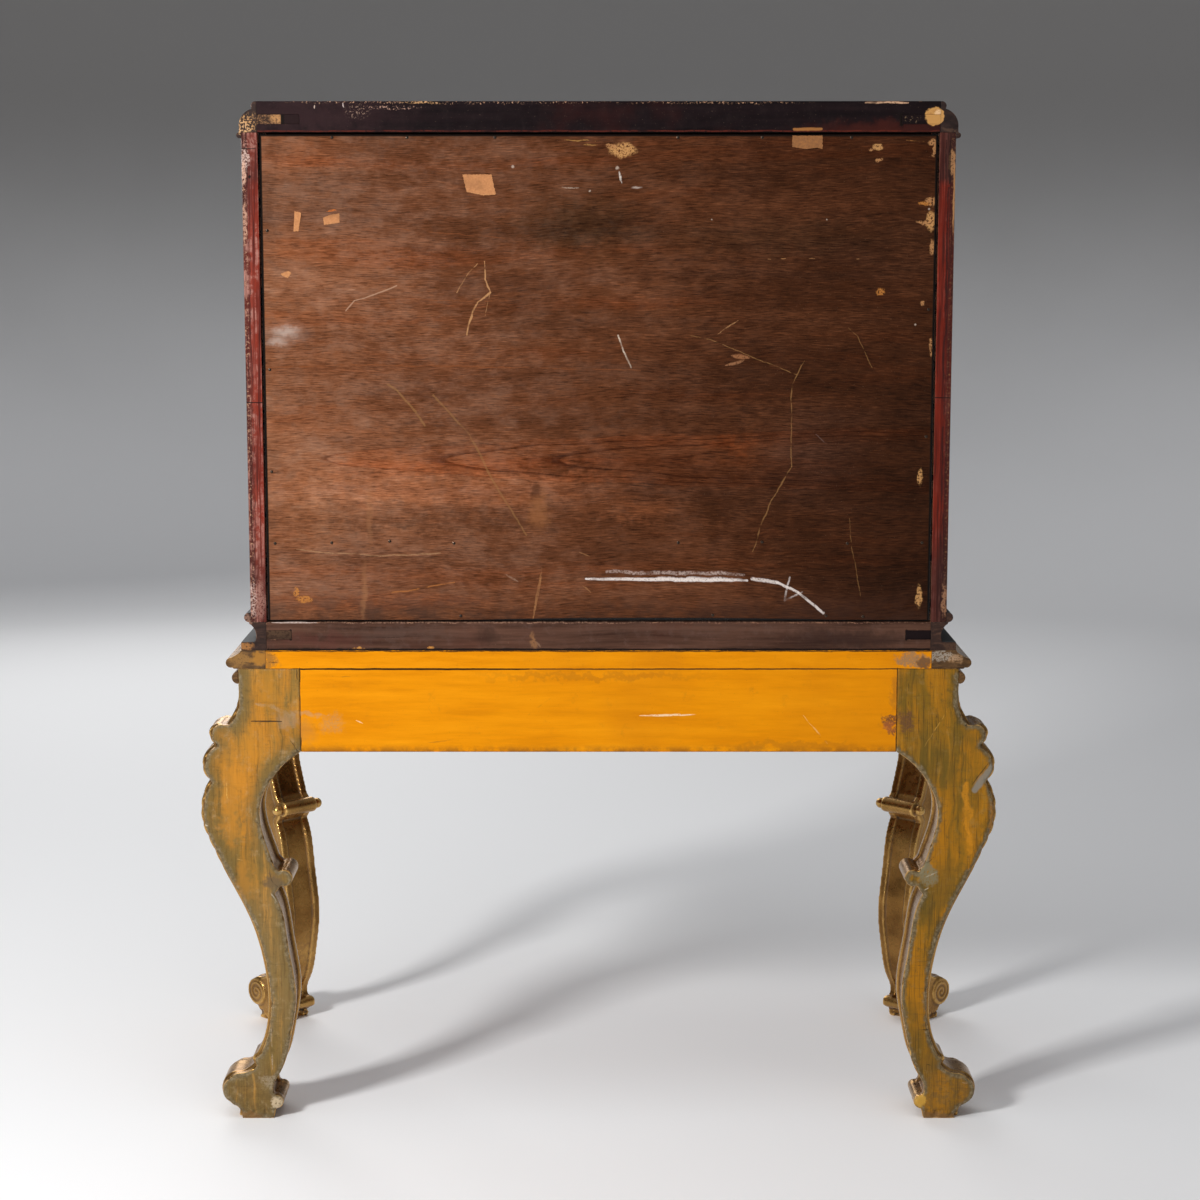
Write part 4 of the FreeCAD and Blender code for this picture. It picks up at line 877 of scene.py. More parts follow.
@dataclass(frozen=True)
class LegPaint(Finish):
    """Rear legs: gilt carving in front, a flat sawn back with worn ochre between bare edges."""

    marks: tuple[Mark, ...] = ()

    def paint(self, g: Graph, shader: Node) -> None:
        """Wire the flat back by its distance from the outline, and gild the rest."""
        place = g.place()
        x, _, z = g.axes(place)
        flat, margin = g.attribute("flat"), g.attribute("margin")
        left = g.math("GREATER_THAN", x, 0.0)
        swung = g.drift(g.drift(place, 6.0, 0.03), 24.0, 0.008)
        flow = g.drawn(swung, (30.0, 1.0, 6.5), 4.0)
        grain = g.drawn(swung, (150.0, 1.0, 8.0), 5.0)
        hair = g.drawn(g.drift(place, 16.0, 0.006), (760.0, 1.0, 17.0), 2.0)
        saw = g.drawn(g.drift(place, 20.0, 0.01), (22.0, 1.0, 330.0), 4.0)
        grime = g.grime(place, 11.0)
        fine = g.noise(place, 130.0, 5.0, 0.72)
        orange = g.mix(left, (0.375, 0.152, 0.0045), (0.47, 0.19, 0.017))
        olive = g.mix(left, (0.19, 0.102, 0.008), (0.245, 0.142, 0.03))
        flame = g.span(g.weigh(flow, (grain, 0.34), (fine, 0.16)), 0.33, 0.62)
        colour = g.mix(flame, olive, orange)
        inward = g.weigh(margin, (flow, 0.026), (grain, 0.012), (fine, 0.012))
        wide = g.by_side(x, 0.011, 0.036)
        edge = g.mix(left, (0.096, 0.06, 0.015), (0.165, 0.108, 0.033))
        colour = g.mix(g.span(inward, wide, 0.003, 0.0, 0.88), colour, edge)
        moss = g.times(g.span(grime["Blotch"], 0.5, 0.66), g.by_side(x, 0.6, 0.3))
        colour = g.mix(moss, colour, (0.11, 0.072, 0.011))
        shin = g.times(g.span(z, 0.42, 0.27), g.by_side(x, 0.0, 0.8))
        colour = g.mix(g.times(shin, g.span(flow, 0.34, 0.56)), colour, (0.2, 0.133, 0.048))
        foot = g.times(g.span(z, 0.11, 0.05), g.span(fine, 0.34, 0.6))
        colour = g.mix(g.times(foot, 0.7), colour, (0.125, 0.076, 0.024))
        colour = g.veil(colour, (0.09, 0.047, 0.0085), grain, 0.46, 0.28, 0.5)
        colour = g.veil(colour, g.mix(left, (0.46, 0.215, 0.014), (0.62, 0.31, 0.06)), grain, 0.55, 0.74,
                        0.38)
        colour = g.veil(colour, (0.105, 0.062, 0.016), fine, 0.46, 0.34, 0.38)
        dusty = g.span(g.noise(swung, 62.0, 6.0, 0.74), 0.53, 0.7, 0.0, 0.34)
        colour = g.mix(dusty, colour, g.mix(left, (0.3, 0.185, 0.055), (0.44, 0.325, 0.175)))
        scored = g.times(g.span(hair, 0.55, 0.65), g.by_side(x, 0.5, 0.28))
        colour = g.mix(scored, colour, (0.05, 0.027, 0.0065))
        ragged = g.weigh(margin, (grime["Rubbed"], 0.012), (fine, 0.01), (flow, 0.01))
        rim = g.span(ragged, 0.008, 0.003)
        crust = g.ramp(g.noise(place, 170.0, 5.0, 0.75), (0.32, (0.07, 0.048, 0.024)),
                       (0.5, (0.16, 0.118, 0.062)),
                       (0.68, (0.31, 0.245, 0.15)))
        colour = g.mix(g.times(rim, 0.78), colour, crust)
        fleck = g.times(grime["Specks"], rim, 0.75)
        colour = g.mix(fleck, colour, (0.5, 0.43, 0.33))
        colour = g.veil(colour, (0.095, 0.053, 0.014), saw, 0.57, 0.72, 0.3)
        lip = g.times(g.span(margin, 0.0018, 0.0005), g.span(grime["Rubbed"], 0.46, 0.58))
        colour = g.mix(g.times(lip, 0.6), colour, (0.52, 0.26, 0.05))
        colour = self.lay(g, place, colour, self.marks)
        gold, metal, gloss = Gilding.leaf(g, place)
        gilt_share = g.rest(flat)
        dull = g.dulled(grime, 0.42, 0.62)
        rough = g.math("ADD", g.times(gloss, gilt_share), g.times(dull, flat))
        height = g.weigh(grain, (saw, 0.7), (rim, -0.6))
        g.coat(shader, g.mix(flat, gold, colour), rough, g.bump(height, 0.38, 0.0009),
               Metallic=g.times(metal, gilt_share), Specular_IOR_Level=0.16)


@dataclass(frozen=True)
class Gilding(Finish):
    """Bronze-gold leaf over a brown ground, dark in the hollows and painted bright on the ridges as a
    highlight.
    """

    @staticmethod
    def leaf(g: Graph, place: Socket) -> tuple[Socket, Socket, Socket]:
        """Wire rubbed gold leaf.

        Args:
            g: the material's graph.
            place: object coordinates.

        Returns:
            Its colour, how metallic it is and its roughness.
        """
        grime = g.grime(place, 14.0)
        hollow, ridge = g.attribute("hollow"), g.attribute("ridge")
        tone = g.weigh(grime["Blotch"], (grime["Rubbed"], 0.18))
        colour = g.ramp(tone, (0.3, (0.17, 0.08, 0.02)), (0.52, (0.33, 0.168, 0.044)),
                        (0.72, (0.52, 0.29, 0.082)))
        # Painted highlight: the ridges are turned bright gold.
        colour = g.mix(g.times(ridge, 0.85), colour, (0.84, 0.52, 0.17))
        ground = g.times(g.span(grime["Blotch"], 0.52, 0.66), g.span(grime["Rubbed"], 0.46, 0.6))
        colour = g.mix(g.times(ground, 0.34), colour, (0.14, 0.052, 0.018))
        dirt = g.times(hollow, g.span(grime["Rubbed"], 0.25, 0.55, 0.65, 1.0))
        colour = g.mix(g.times(dirt, 0.9), colour, (0.026, 0.013, 0.006))
        cover = g.rest(g.math("MAXIMUM", dirt, g.times(ground, 0.3)))
        metal = g.math("MULTIPLY", cover, 0.92, clamp=True)
        gloss = g.math("ADD", g.dulled(grime, 0.22, 0.34), g.times(dirt, 0.2))
        return colour, metal, gloss

    def paint(self, g: Graph, shader: Node) -> None:
        """Wire the leaf, with its rubbed edges painted bright gold as a highlight."""
        place = g.place()
        colour, metal, gloss = self.leaf(g, place)
        # Painted highlight: the rubbed edges of boards are lightened to bright gold.
        colour = g.worn(place, colour, (0.82, 0.52, 0.17), 0.6, 0.8)
        g.coat(shader, colour, gloss, g.bump(g.noise(place, 160.0, 4.0, 0.6), 0.05, 0.0005), Metallic=metal)


@dataclass(frozen=True)
class PlainTimber(Finish):
    """Bare timber: drawer linings and glue blocks."""

    run: Run = Run.X
    dark: Colour = (0.17, 0.085, 0.032)
    light: Colour = (0.4, 0.235, 0.105)

    def paint(self, g: Graph, shader: Node) -> None:
        """Wire straight-grained timber with pores, grime and paler worn edges."""
        place = g.place()
        grain = g.grain(place, self.run.value, 0.02)
        grime = g.grime(place, 7.0)
        colour = g.ramp(grain["Streaks"], (0.28, self.dark), (0.74, self.light))
        colour = g.mix(g.times(grain["Pores"], 0.5), colour, tuple(0.35 * c for c in self.dark))
        colour = g.veil(colour, tuple(0.6 * c for c in self.dark), grime["Blotch"], 0.5, 0.72, 0.4)
        colour = g.worn(place, colour, tuple(min(1.0, 1.35 * c) for c in self.light), 0.7, 0.6)
        g.coat(shader, colour, g.dulled(grime, 0.5, 0.68),
               g.bump(grain["Streaks"], 0.35))


@dataclass(frozen=True)
class AgedMetal(Finish):
    """Brass or iron with a rubbed face and a dark tarnish."""

    bright: Colour = (0.66, 0.46, 0.17)
    dull: Colour = (0.3, 0.185, 0.06)
    dirt: Colour = (0.075, 0.048, 0.022)

    def paint(self, g: Graph, shader: Node) -> None:
        """Wire rubbed metal with spots of tarnish and fine scratches."""
        place = g.place()
        grime = g.grime(place, 38.0)
        colour = g.ramp(grime["Rubbed"], (0.34, self.dull), (0.66, self.bright))
        tarnish = g.span(grime["Blotch"], 0.54, 0.7, 0.0, 0.8)
        colour = g.mix(tarnish, colour, self.dirt)
        rough = g.math("ADD", g.dulled(grime, 0.34, 0.22), g.times(tarnish, 0.25))
        g.coat(shader, colour, rough, g.bump(g.noise(place, 500.0, 3.0), 0.1, 0.0004),
               Metallic=g.math("SUBTRACT", 0.95, g.times(tarnish, 0.4)))


@dataclass(frozen=True)
class OldPaper(Finish):
    """Tan paper left on the back, foxed and torn."""

    dark: Colour = (0.4, 0.155, 0.048)
    light: Colour = (0.54, 0.235, 0.086)

    def paint(self, g: Graph, shader: Node) -> None:
        """Wire foxed paper with a soft fibre."""
        place = g.place()
        grime = g.grime(place, 45.0)
        colour = g.ramp(grime["Rubbed"], (0.34, self.dark), (0.68, self.light))
        colour = g.veil(colour, tuple(0.62 * c for c in self.dark), grime["Blotch"], 0.52, 0.72, 0.45)
        g.coat(shader, colour, g.dulled(grime, 0.72, 0.88),
               g.bump(grime["Rubbed"], 0.3))


@dataclass(frozen=True)
class StudioFloor(Finish):
    """Pale floor that turns to grey up the backdrop."""

    floor: Colour = (0.9, 0.9, 0.9)
    wall: Colour = (0.26, 0.252, 0.245)

    def paint(self, g: Graph, shader: Node) -> None:
        """Wire the change from floor to wall by height."""
        place = g.place()
        z = g.axes(place)[2]
        cloud = g.noise(place, 0.8, 3.0)
        height = g.math("ADD", z, g.times(g.math("SUBTRACT", cloud, 0.5), 0.25))
        g.coat(shader, g.mix(g.span(height, 0.05, 1.9), self.floor, self.wall), 0.62,
               Specular_IOR_Level=0.25)


BRASS = AgedMetal("aged_brass")
IRON = AgedMetal("worn_iron", (0.34, 0.325, 0.3), (0.15, 0.138, 0.12), (0.05, 0.034, 0.022))
NAIL_IRON = AgedMetal("rusted_nail", (0.07, 0.05, 0.036), (0.028, 0.018, 0.012), (0.014, 0.008, 0.005))
RED = RedLacquer("red_lacquer_inside")
BLACK = BlackLacquer("black_lacquer")
GILT = Gilding("bronze_gilding")
PAPER = OldPaper("old_paper")
TAPE = OldPaper("old_tape", (0.2, 0.075, 0.018), (0.31, 0.122, 0.032))


class Bench:
    """Models pieces with Blender's own tools."""

    MERGE = 1e-5
    COPLANAR = math.radians(0.6)
    CREASE = math.radians(38.0)

    @classmethod
    def alone(cls, piece: Object) -> Object:
        """Select one piece only and make it active."""
        if bpy.context.object is not None and bpy.context.object.mode != "OBJECT":
            bpy.ops.object.mode_set(mode="OBJECT")
        cls.clear()
        piece.select_set(True)
        bpy.context.view_layer.objects.active = piece
        return piece

    @staticmethod
    def clear() -> None:
        """Deselect everything."""
        for other in bpy.context.view_layer.objects:
            other.select_set(False)

    @classmethod
    def added(cls, name: str, add: Callable, **settings: object) -> Object:
        """Add an object by one of Blender's operators, with nothing else selected, and name it."""
        cls.clear()
        add(**settings)
        bpy.context.object.name = name
        return bpy.context.object

    @classmethod
    @contextmanager
    def editing(cls, piece: Object, select: str = "SELECT") -> Iterator[None]:
        """Hold a piece in edit mode, with all of it selected or nothing."""
        cls.alone(piece)
        bpy.ops.object.mode_set(mode="EDIT")
        bpy.ops.mesh.select_all(action=select)
        yield
        bpy.ops.object.mode_set(mode="OBJECT")

    @staticmethod
    def pick(piece: Object, kind: str, test: Callable) -> None:
        """Select the faces or edges of a piece in edit mode that pass a test."""
        bpy.ops.mesh.select_mode(type=kind)
        bpy.ops.object.mode_set(mode="OBJECT")
        for part in piece.data.polygons if kind == "FACE" else piece.data.edges:
            part.select = test(part)
        bpy.ops.object.mode_set(mode="EDIT")

    @classmethod
    def apply(cls, piece: Object, kind: str, **settings: object) -> Object:
        """Add a modifier, set it and apply it."""
        cls.alone(piece)
        modifier = piece.modifiers.new(kind.lower(), kind)
        for name, value in settings.items():
            setattr(modifier, name, value)
        bpy.ops.object.modifier_apply(modifier=modifier.name)
        return piece

    @classmethod
    def settle(cls, piece: Object) -> Object:
        """Put a piece's place into its mesh."""
        cls.alone(piece)
        bpy.ops.object.transform_apply(location=True, rotation=True, scale=True)
        return piece

    @classmethod
    def turned_out(cls, piece: Object) -> None:
        """Turn the faces of a piece outwards."""
        with cls.editing(piece):
            bpy.ops.mesh.normals_make_consistent(inside=False)

    @classmethod
    def smooth(cls, piece: Object, angle: float = 32.0) -> Object:
        """Shade a piece smooth up to an angle."""
        cls.alone(piece)
        bpy.ops.object.shade_smooth_by_angle(angle=math.radians(angle))
        return piece

    @classmethod
    def copy_of(cls, node: str, name: str) -> Object:
        """Give a merged copy of a CAD node's mesh."""
        piece = bpy.data.objects.new(name, frame["nodes"][node].data.copy())
        bpy.context.scene.collection.objects.link(piece)
        piece.data.materials.clear()
        cls.alone(piece)
        bpy.ops.mesh.customdata_custom_splitnormals_clear()
        with cls.editing(piece):
            bpy.ops.mesh.remove_doubles(threshold=cls.MERGE)
        return piece

    @classmethod
    def eased(cls, node: str, width: float) -> Object:
        """Give a copy of a CAD node with eased edges, marked by a rim attribute.

        Args:
            node: the CAD node.
            width: how far the edges are eased.

        Returns:
            The copy, with the number 1 on the faces of its eased edges.
        """
        piece = cls.copy_of(node, node + "_shown")
        with cls.editing(piece):
            bpy.ops.mesh.dissolve_limited(angle_limit=cls.COPLANAR)
        for _ in range(2):
            piece.data.materials.append(BLACK.material())
        cls.apply(piece, "BEVEL", width=width, segments=2, limit_method="ANGLE", angle_limit=cls.CREASE,
                  use_clamp_overlap=False, material=1)
        rims = np.zeros(len(piece.data.polygons), np.int32)
        piece.data.polygons.foreach_get("material_index", rims)
        piece.data.attributes.new("rim", "FLOAT", "FACE").data.foreach_set("value", rims.astype(np.float32))
        piece.data.polygons.foreach_set("material_index", np.zeros_like(rims))
        piece.data.materials.clear()
        cls.smooth(piece, 36.0)
        return cls.apply(piece, "WEIGHTED_NORMAL", mode="FACE_AREA", weight=100, keep_sharp=True)

    @classmethod
    def joined(cls, name: str, pieces: Sequence[Object]) -> Object:
        """Join pieces into one and name it."""
        cls.alone(pieces[0])
        for piece in pieces:
            piece.select_set(True)
        bpy.ops.object.join()
        pieces[0].name = name
        return pieces[0]

    @classmethod
    def twin(cls, piece: Object, matrix: Matrix) -> Object:
        """Give a moved copy of a piece with its own mesh."""
        copy = bpy.data.objects.new(piece.name + "_copy", piece.data.copy())
        bpy.context.scene.collection.objects.link(copy)
        copy.data.transform(matrix)
        return copy

    @staticmethod
    def points(piece: Object, kind: str = "co") -> np.ndarray:
        """Give the places of a piece's vertices, or their normals, as rows."""
        found = np.zeros(len(piece.data.vertices) * 3, np.float32)
        piece.data.vertices.foreach_get(kind, found)
        return found.reshape(-1, 3).astype(float)

    @staticmethod
    def put_points(piece: Object, points: np.ndarray) -> None:
        """Write a piece's vertices back."""
        piece.data.vertices.foreach_set("co", points.astype(np.float32).ravel())
        piece.data.update()

    @staticmethod
    def keep(piece: Object, name: str, values: np.ndarray) -> None:
        """Keep a number on each vertex for the finish to read."""
        layer = piece.data.attributes.new(name, "FLOAT", "POINT")
        layer.data.foreach_set("value", values.astype(np.float32))


def carry(piece: Object, body: str, finish: Finish, slot: Slot | None, *nodes: str,
          back: Finish | None = None) -> Object:
    """Dress a piece and fix it to the body it moves with.

    Args:
        piece: the finished mesh.
        body: the CAD body that it rides on.
        finish: what it is finished in.
        slot: the record's slot for that finish, if it has one; not used.
        nodes: the CAD nodes that it stands for.
        back: the finish of its faces in the flat back, where that is another.

    Returns:
        The piece.
    """
    piece.data.materials.clear()
    piece.data.materials.append(finish.material())
    if back is not None:
        piece.data.materials.append(back.material())
        for face in piece.data.polygons:
            face.material_index = int(face.normal.y > 0.7 and face.center.y > BACK - 0.0012)
    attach(piece, body)
    if nodes:
        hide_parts(*nodes)
    log.info("%s: %d faces, rides on %s", piece.name, len(piece.data.polygons), body)
    return piece


def dress(node: str, finish: Finish, slot: Slot, width: float = 0.0009, body: str = "cabinet",
          back: Finish | None = None) -> Object:
    """Dress a copy of a CAD node with eased edges.

    Args:
        node: the CAD node.
        finish: what it is finished in.
        slot: the record's slot for that finish.
        width: how far its edges are eased.
        body: the CAD body that it rides on.
        back: the finish of its faces in the flat back, where that is another.

    Returns:
        The piece.
    """
    return carry(Bench.eased(node, width), body, finish, slot, node, back=back)


def eased_step(values: np.ndarray, low: float, high: float) -> np.ndarray:
    """Give 0 below low, 1 above high and an eased step between."""
    share = np.clip((values - low) / (high - low), 0.0, 1.0)
    return share * share * (3.0 - 2.0 * share)


def eased_band(values: np.ndarray, limits: Sequence[float]) -> np.ndarray:
    """Give 1 between the inner two of four limits, eased to 0 at the outer two."""
    return eased_step(values, *limits[:2]) * (1.0 - eased_step(values, *limits[2:]))


@dataclass
class CarvedLeg:
    """A cabriole leg, carved from its sawn shape."""

    node: str
    side: int
    diagonal: bool
    finish: Finish
    slot: Slot
    voxel: float = 0.0017
    apron_end: float = 0.52
    corner: Spot = (0.537, -0.22177)
    toe: Spot = (0.0135, 0.043)
    toe_radius: float = 0.021
    side_cut: float = 0.55
    border: float = 0.0085
    field_depth: float = 0.0016
    field_limits: tuple[float, ...] = (0.098, 0.11, 0.56, 0.585)
    spiral_pitch: float = 0.0085
    spiral_depth: float = 0.0013
    leaf_limits: tuple[float, ...] = (0.365, 0.42, 0.6, 0.66)
    vein_pitch: float = 0.021
    vein_depth: float = 0.0016
    rib: Spot = (0.0045, 0.0016)
    chip_depth: float = 0.0026

    def build(self) -> Object:
        """Remesh the sawn leg, carve it and keep its wear for the finish."""
        leg = Bench.copy_of(self.node, self.node + "_carved")
        Bench.apply(leg, "REMESH", mode="VOXEL", voxel_size=self.voxel)
        Bench.apply(leg, "SMOOTH", factor=0.5, iterations=3)
        low, high = (np.array(corner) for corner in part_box(self.node))
        flat, margin = self.carve(leg)
        Bench.put_points(leg, np.clip(Bench.points(leg), low, high))
        hollow, ridge = self.hollows(leg)
        for name, values in (("flat", flat), ("margin", margin), ("hollow", hollow), ("ridge", ridge)):
            Bench.keep(leg, name, values)
        Bench.keep(leg, "rim", np.zeros_like(flat))
        Bench.alone(leg)
        bpy.ops.object.shade_smooth()
        return carry(leg, "cabinet", self.finish, self.slot, self.node)

    def own_axes(self, points: np.ndarray) -> tuple[np.ndarray, np.ndarray, np.ndarray, np.ndarray]:
        """Give the reach and place across of each point, and the leg's outward and sideways directions."""
        x, y = points[:, 0] * self.side, points[:, 1]
        if not self.diagonal:
            return x - self.apron_end, y - BACK, np.array((self.side, 0.0, 0.0)), np.array((0.0, 1.0, 0.0))
        turn = math.sqrt(0.5)
        dx, dy = x - self.corner[0], y - self.corner[1]
        outward = np.array((self.side * turn, -turn, 0.0))
        sideways = np.array((self.side * turn, turn, 0.0))
        return (dx - dy) * turn, (dx + dy) * turn, outward, sideways

    def carve(self, leg: Object) -> tuple[np.ndarray, np.ndarray]:
        """Cut the leaf, the sunk fields and the foot's spiral.

        Args:
            leg: the remeshed leg.

        Returns:
            Which points lie in the flat back, and how far each side point is from the outline.
        """
        points, normals = Bench.points(leg), Bench.points(leg, "normal")
        reach, across, outward, sideways = self.own_axes(points)
        z = points[:, 2]
        facing = normals @ sideways
        near, far = (0.022, -0.022) if self.diagonal else (-0.0045, -0.066)
        margin = np.zeros(len(points))
        in_joint = (z > 0.664) | ((z > 0.556) & (reach < -0.08))
        for side in ((facing, across > near), (-facing, across < far)):
            outline = np.flatnonzero((side[0] < self.side_cut) & side[1] & ~in_joint)
            tree = KDTree(len(outline))
            for number, index in enumerate(outline):
                tree.insert((reach[index], z[index], 0.0), number)
            tree.balance()
            for index in np.flatnonzero(side[0] >= self.side_cut):
                margin[index] = tree.find((reach[index], z[index], 0.0))[2]
        flat = ((facing > self.side_cut) & (across > -0.004) & (not self.diagonal)).astype(float)
        carved = (np.abs(facing) >= self.side_cut) & (flat < 0.5)
        depth = carved * self.field_depth * eased_step(margin, self.border, self.border + 0.004)
        depth *= eased_band(z, self.field_limits)
        roll = np.hypot(reach - self.toe[0], z - self.toe[1])
        turn = np.arctan2(z - self.toe[1], reach - self.toe[0])
        spiral = 0.5 + 0.5 * np.cos(2.0 * math.pi * roll / self.spiral_pitch - turn)
        depth += carved * self.spiral_depth * (roll < self.toe_radius) * spiral ** 3
        leaf = np.clip((normals @ outward - 0.25) / 0.35, 0.0, 1.0)
        leaf *= eased_band(z, self.leaf_limits)
        middle = across if self.diagonal else across + 0.038
        veins = 0.5 - 0.5 * np.cos(2.0 * math.pi * (z + 1.1 * np.abs(middle)) / self.vein_pitch)
        rib = np.exp(-((np.abs(middle) - self.rib[0]) / self.rib[1]) ** 2)
        depth += leaf * self.vein_depth * np.maximum(veins ** 2, rib)
        depth += self.chips(points, normals, flat, margin, facing)
        Bench.put_points(leg, points - normals * depth[:, None])
        return flat, margin

    def chips(self, points: np.ndarray, normals: np.ndarray, flat: np.ndarray, margin: np.ndarray,
              facing: np.ndarray) -> np.ndarray:
        """Give how deep the sole and the sawn edge of the flat back are chipped.

        Args:
            points: the leg's points.
            normals: their normals.
            flat: which of them lie in the flat back.
            margin: how far each side point is from the outline.
            facing: how far each normal points sideways.

        Returns:
            The depth at each point.
        """
        sole = (points[:, 2] < 0.014) & (np.abs(normals[:, 2]) < 0.6)
        corner = (points[:, 1] > BACK - 0.005) & (points[:, 2] < 0.66) & (facing > 0.1)
        corner &= ((flat < 0.5) | (margin < 0.003)) & (not self.diagonal)
        depth = np.zeros(len(points))
        for index in np.flatnonzero(sole | corner):
            spot, bar = points[index], -0.1 if sole[index] else 0.15
            bite = noise.noise(Vector(spot * 95.0)) + 0.5 * noise.noise(Vector(spot * 260.0))
            depth[index] = self.chip_depth * min(1.0, max(0.0, bite - bar) * 1.6)
        return depth

    @staticmethod
    def hollows(leg: Object) -> tuple[np.ndarray, np.ndarray]:
        """Give how hollow and how ridged the surface is at each point."""
        points, normals = Bench.points(leg), Bench.points(leg, "normal")
        edges = np.zeros(len(leg.data.edges) * 2, np.int32)
        leg.data.edges.foreach_get("vertices", edges)
        ends = np.concatenate((edges.reshape(-1, 2), edges.reshape(-1, 2)[:, ::-1]))
        counts = np.maximum(np.bincount(ends[:, 0], minlength=len(points)), 1)
        sums = [np.bincount(ends[:, 0], points[ends[:, 1], axis], len(points)) for axis in range(3)]
        around = np.stack(sums, 1)
        bend = ((around / counts[:, None] - points) * normals).sum(1)
        for _ in range(4):
            bend = 0.4 * bend + 0.6 * np.bincount(ends[:, 0], bend[ends[:, 1]], len(points)) / counts
        return np.clip((bend - 0.00003) / 0.00012, 0.0, 1.0), np.clip((-bend - 0.00002) / 0.00016, 0.0, 1.0)


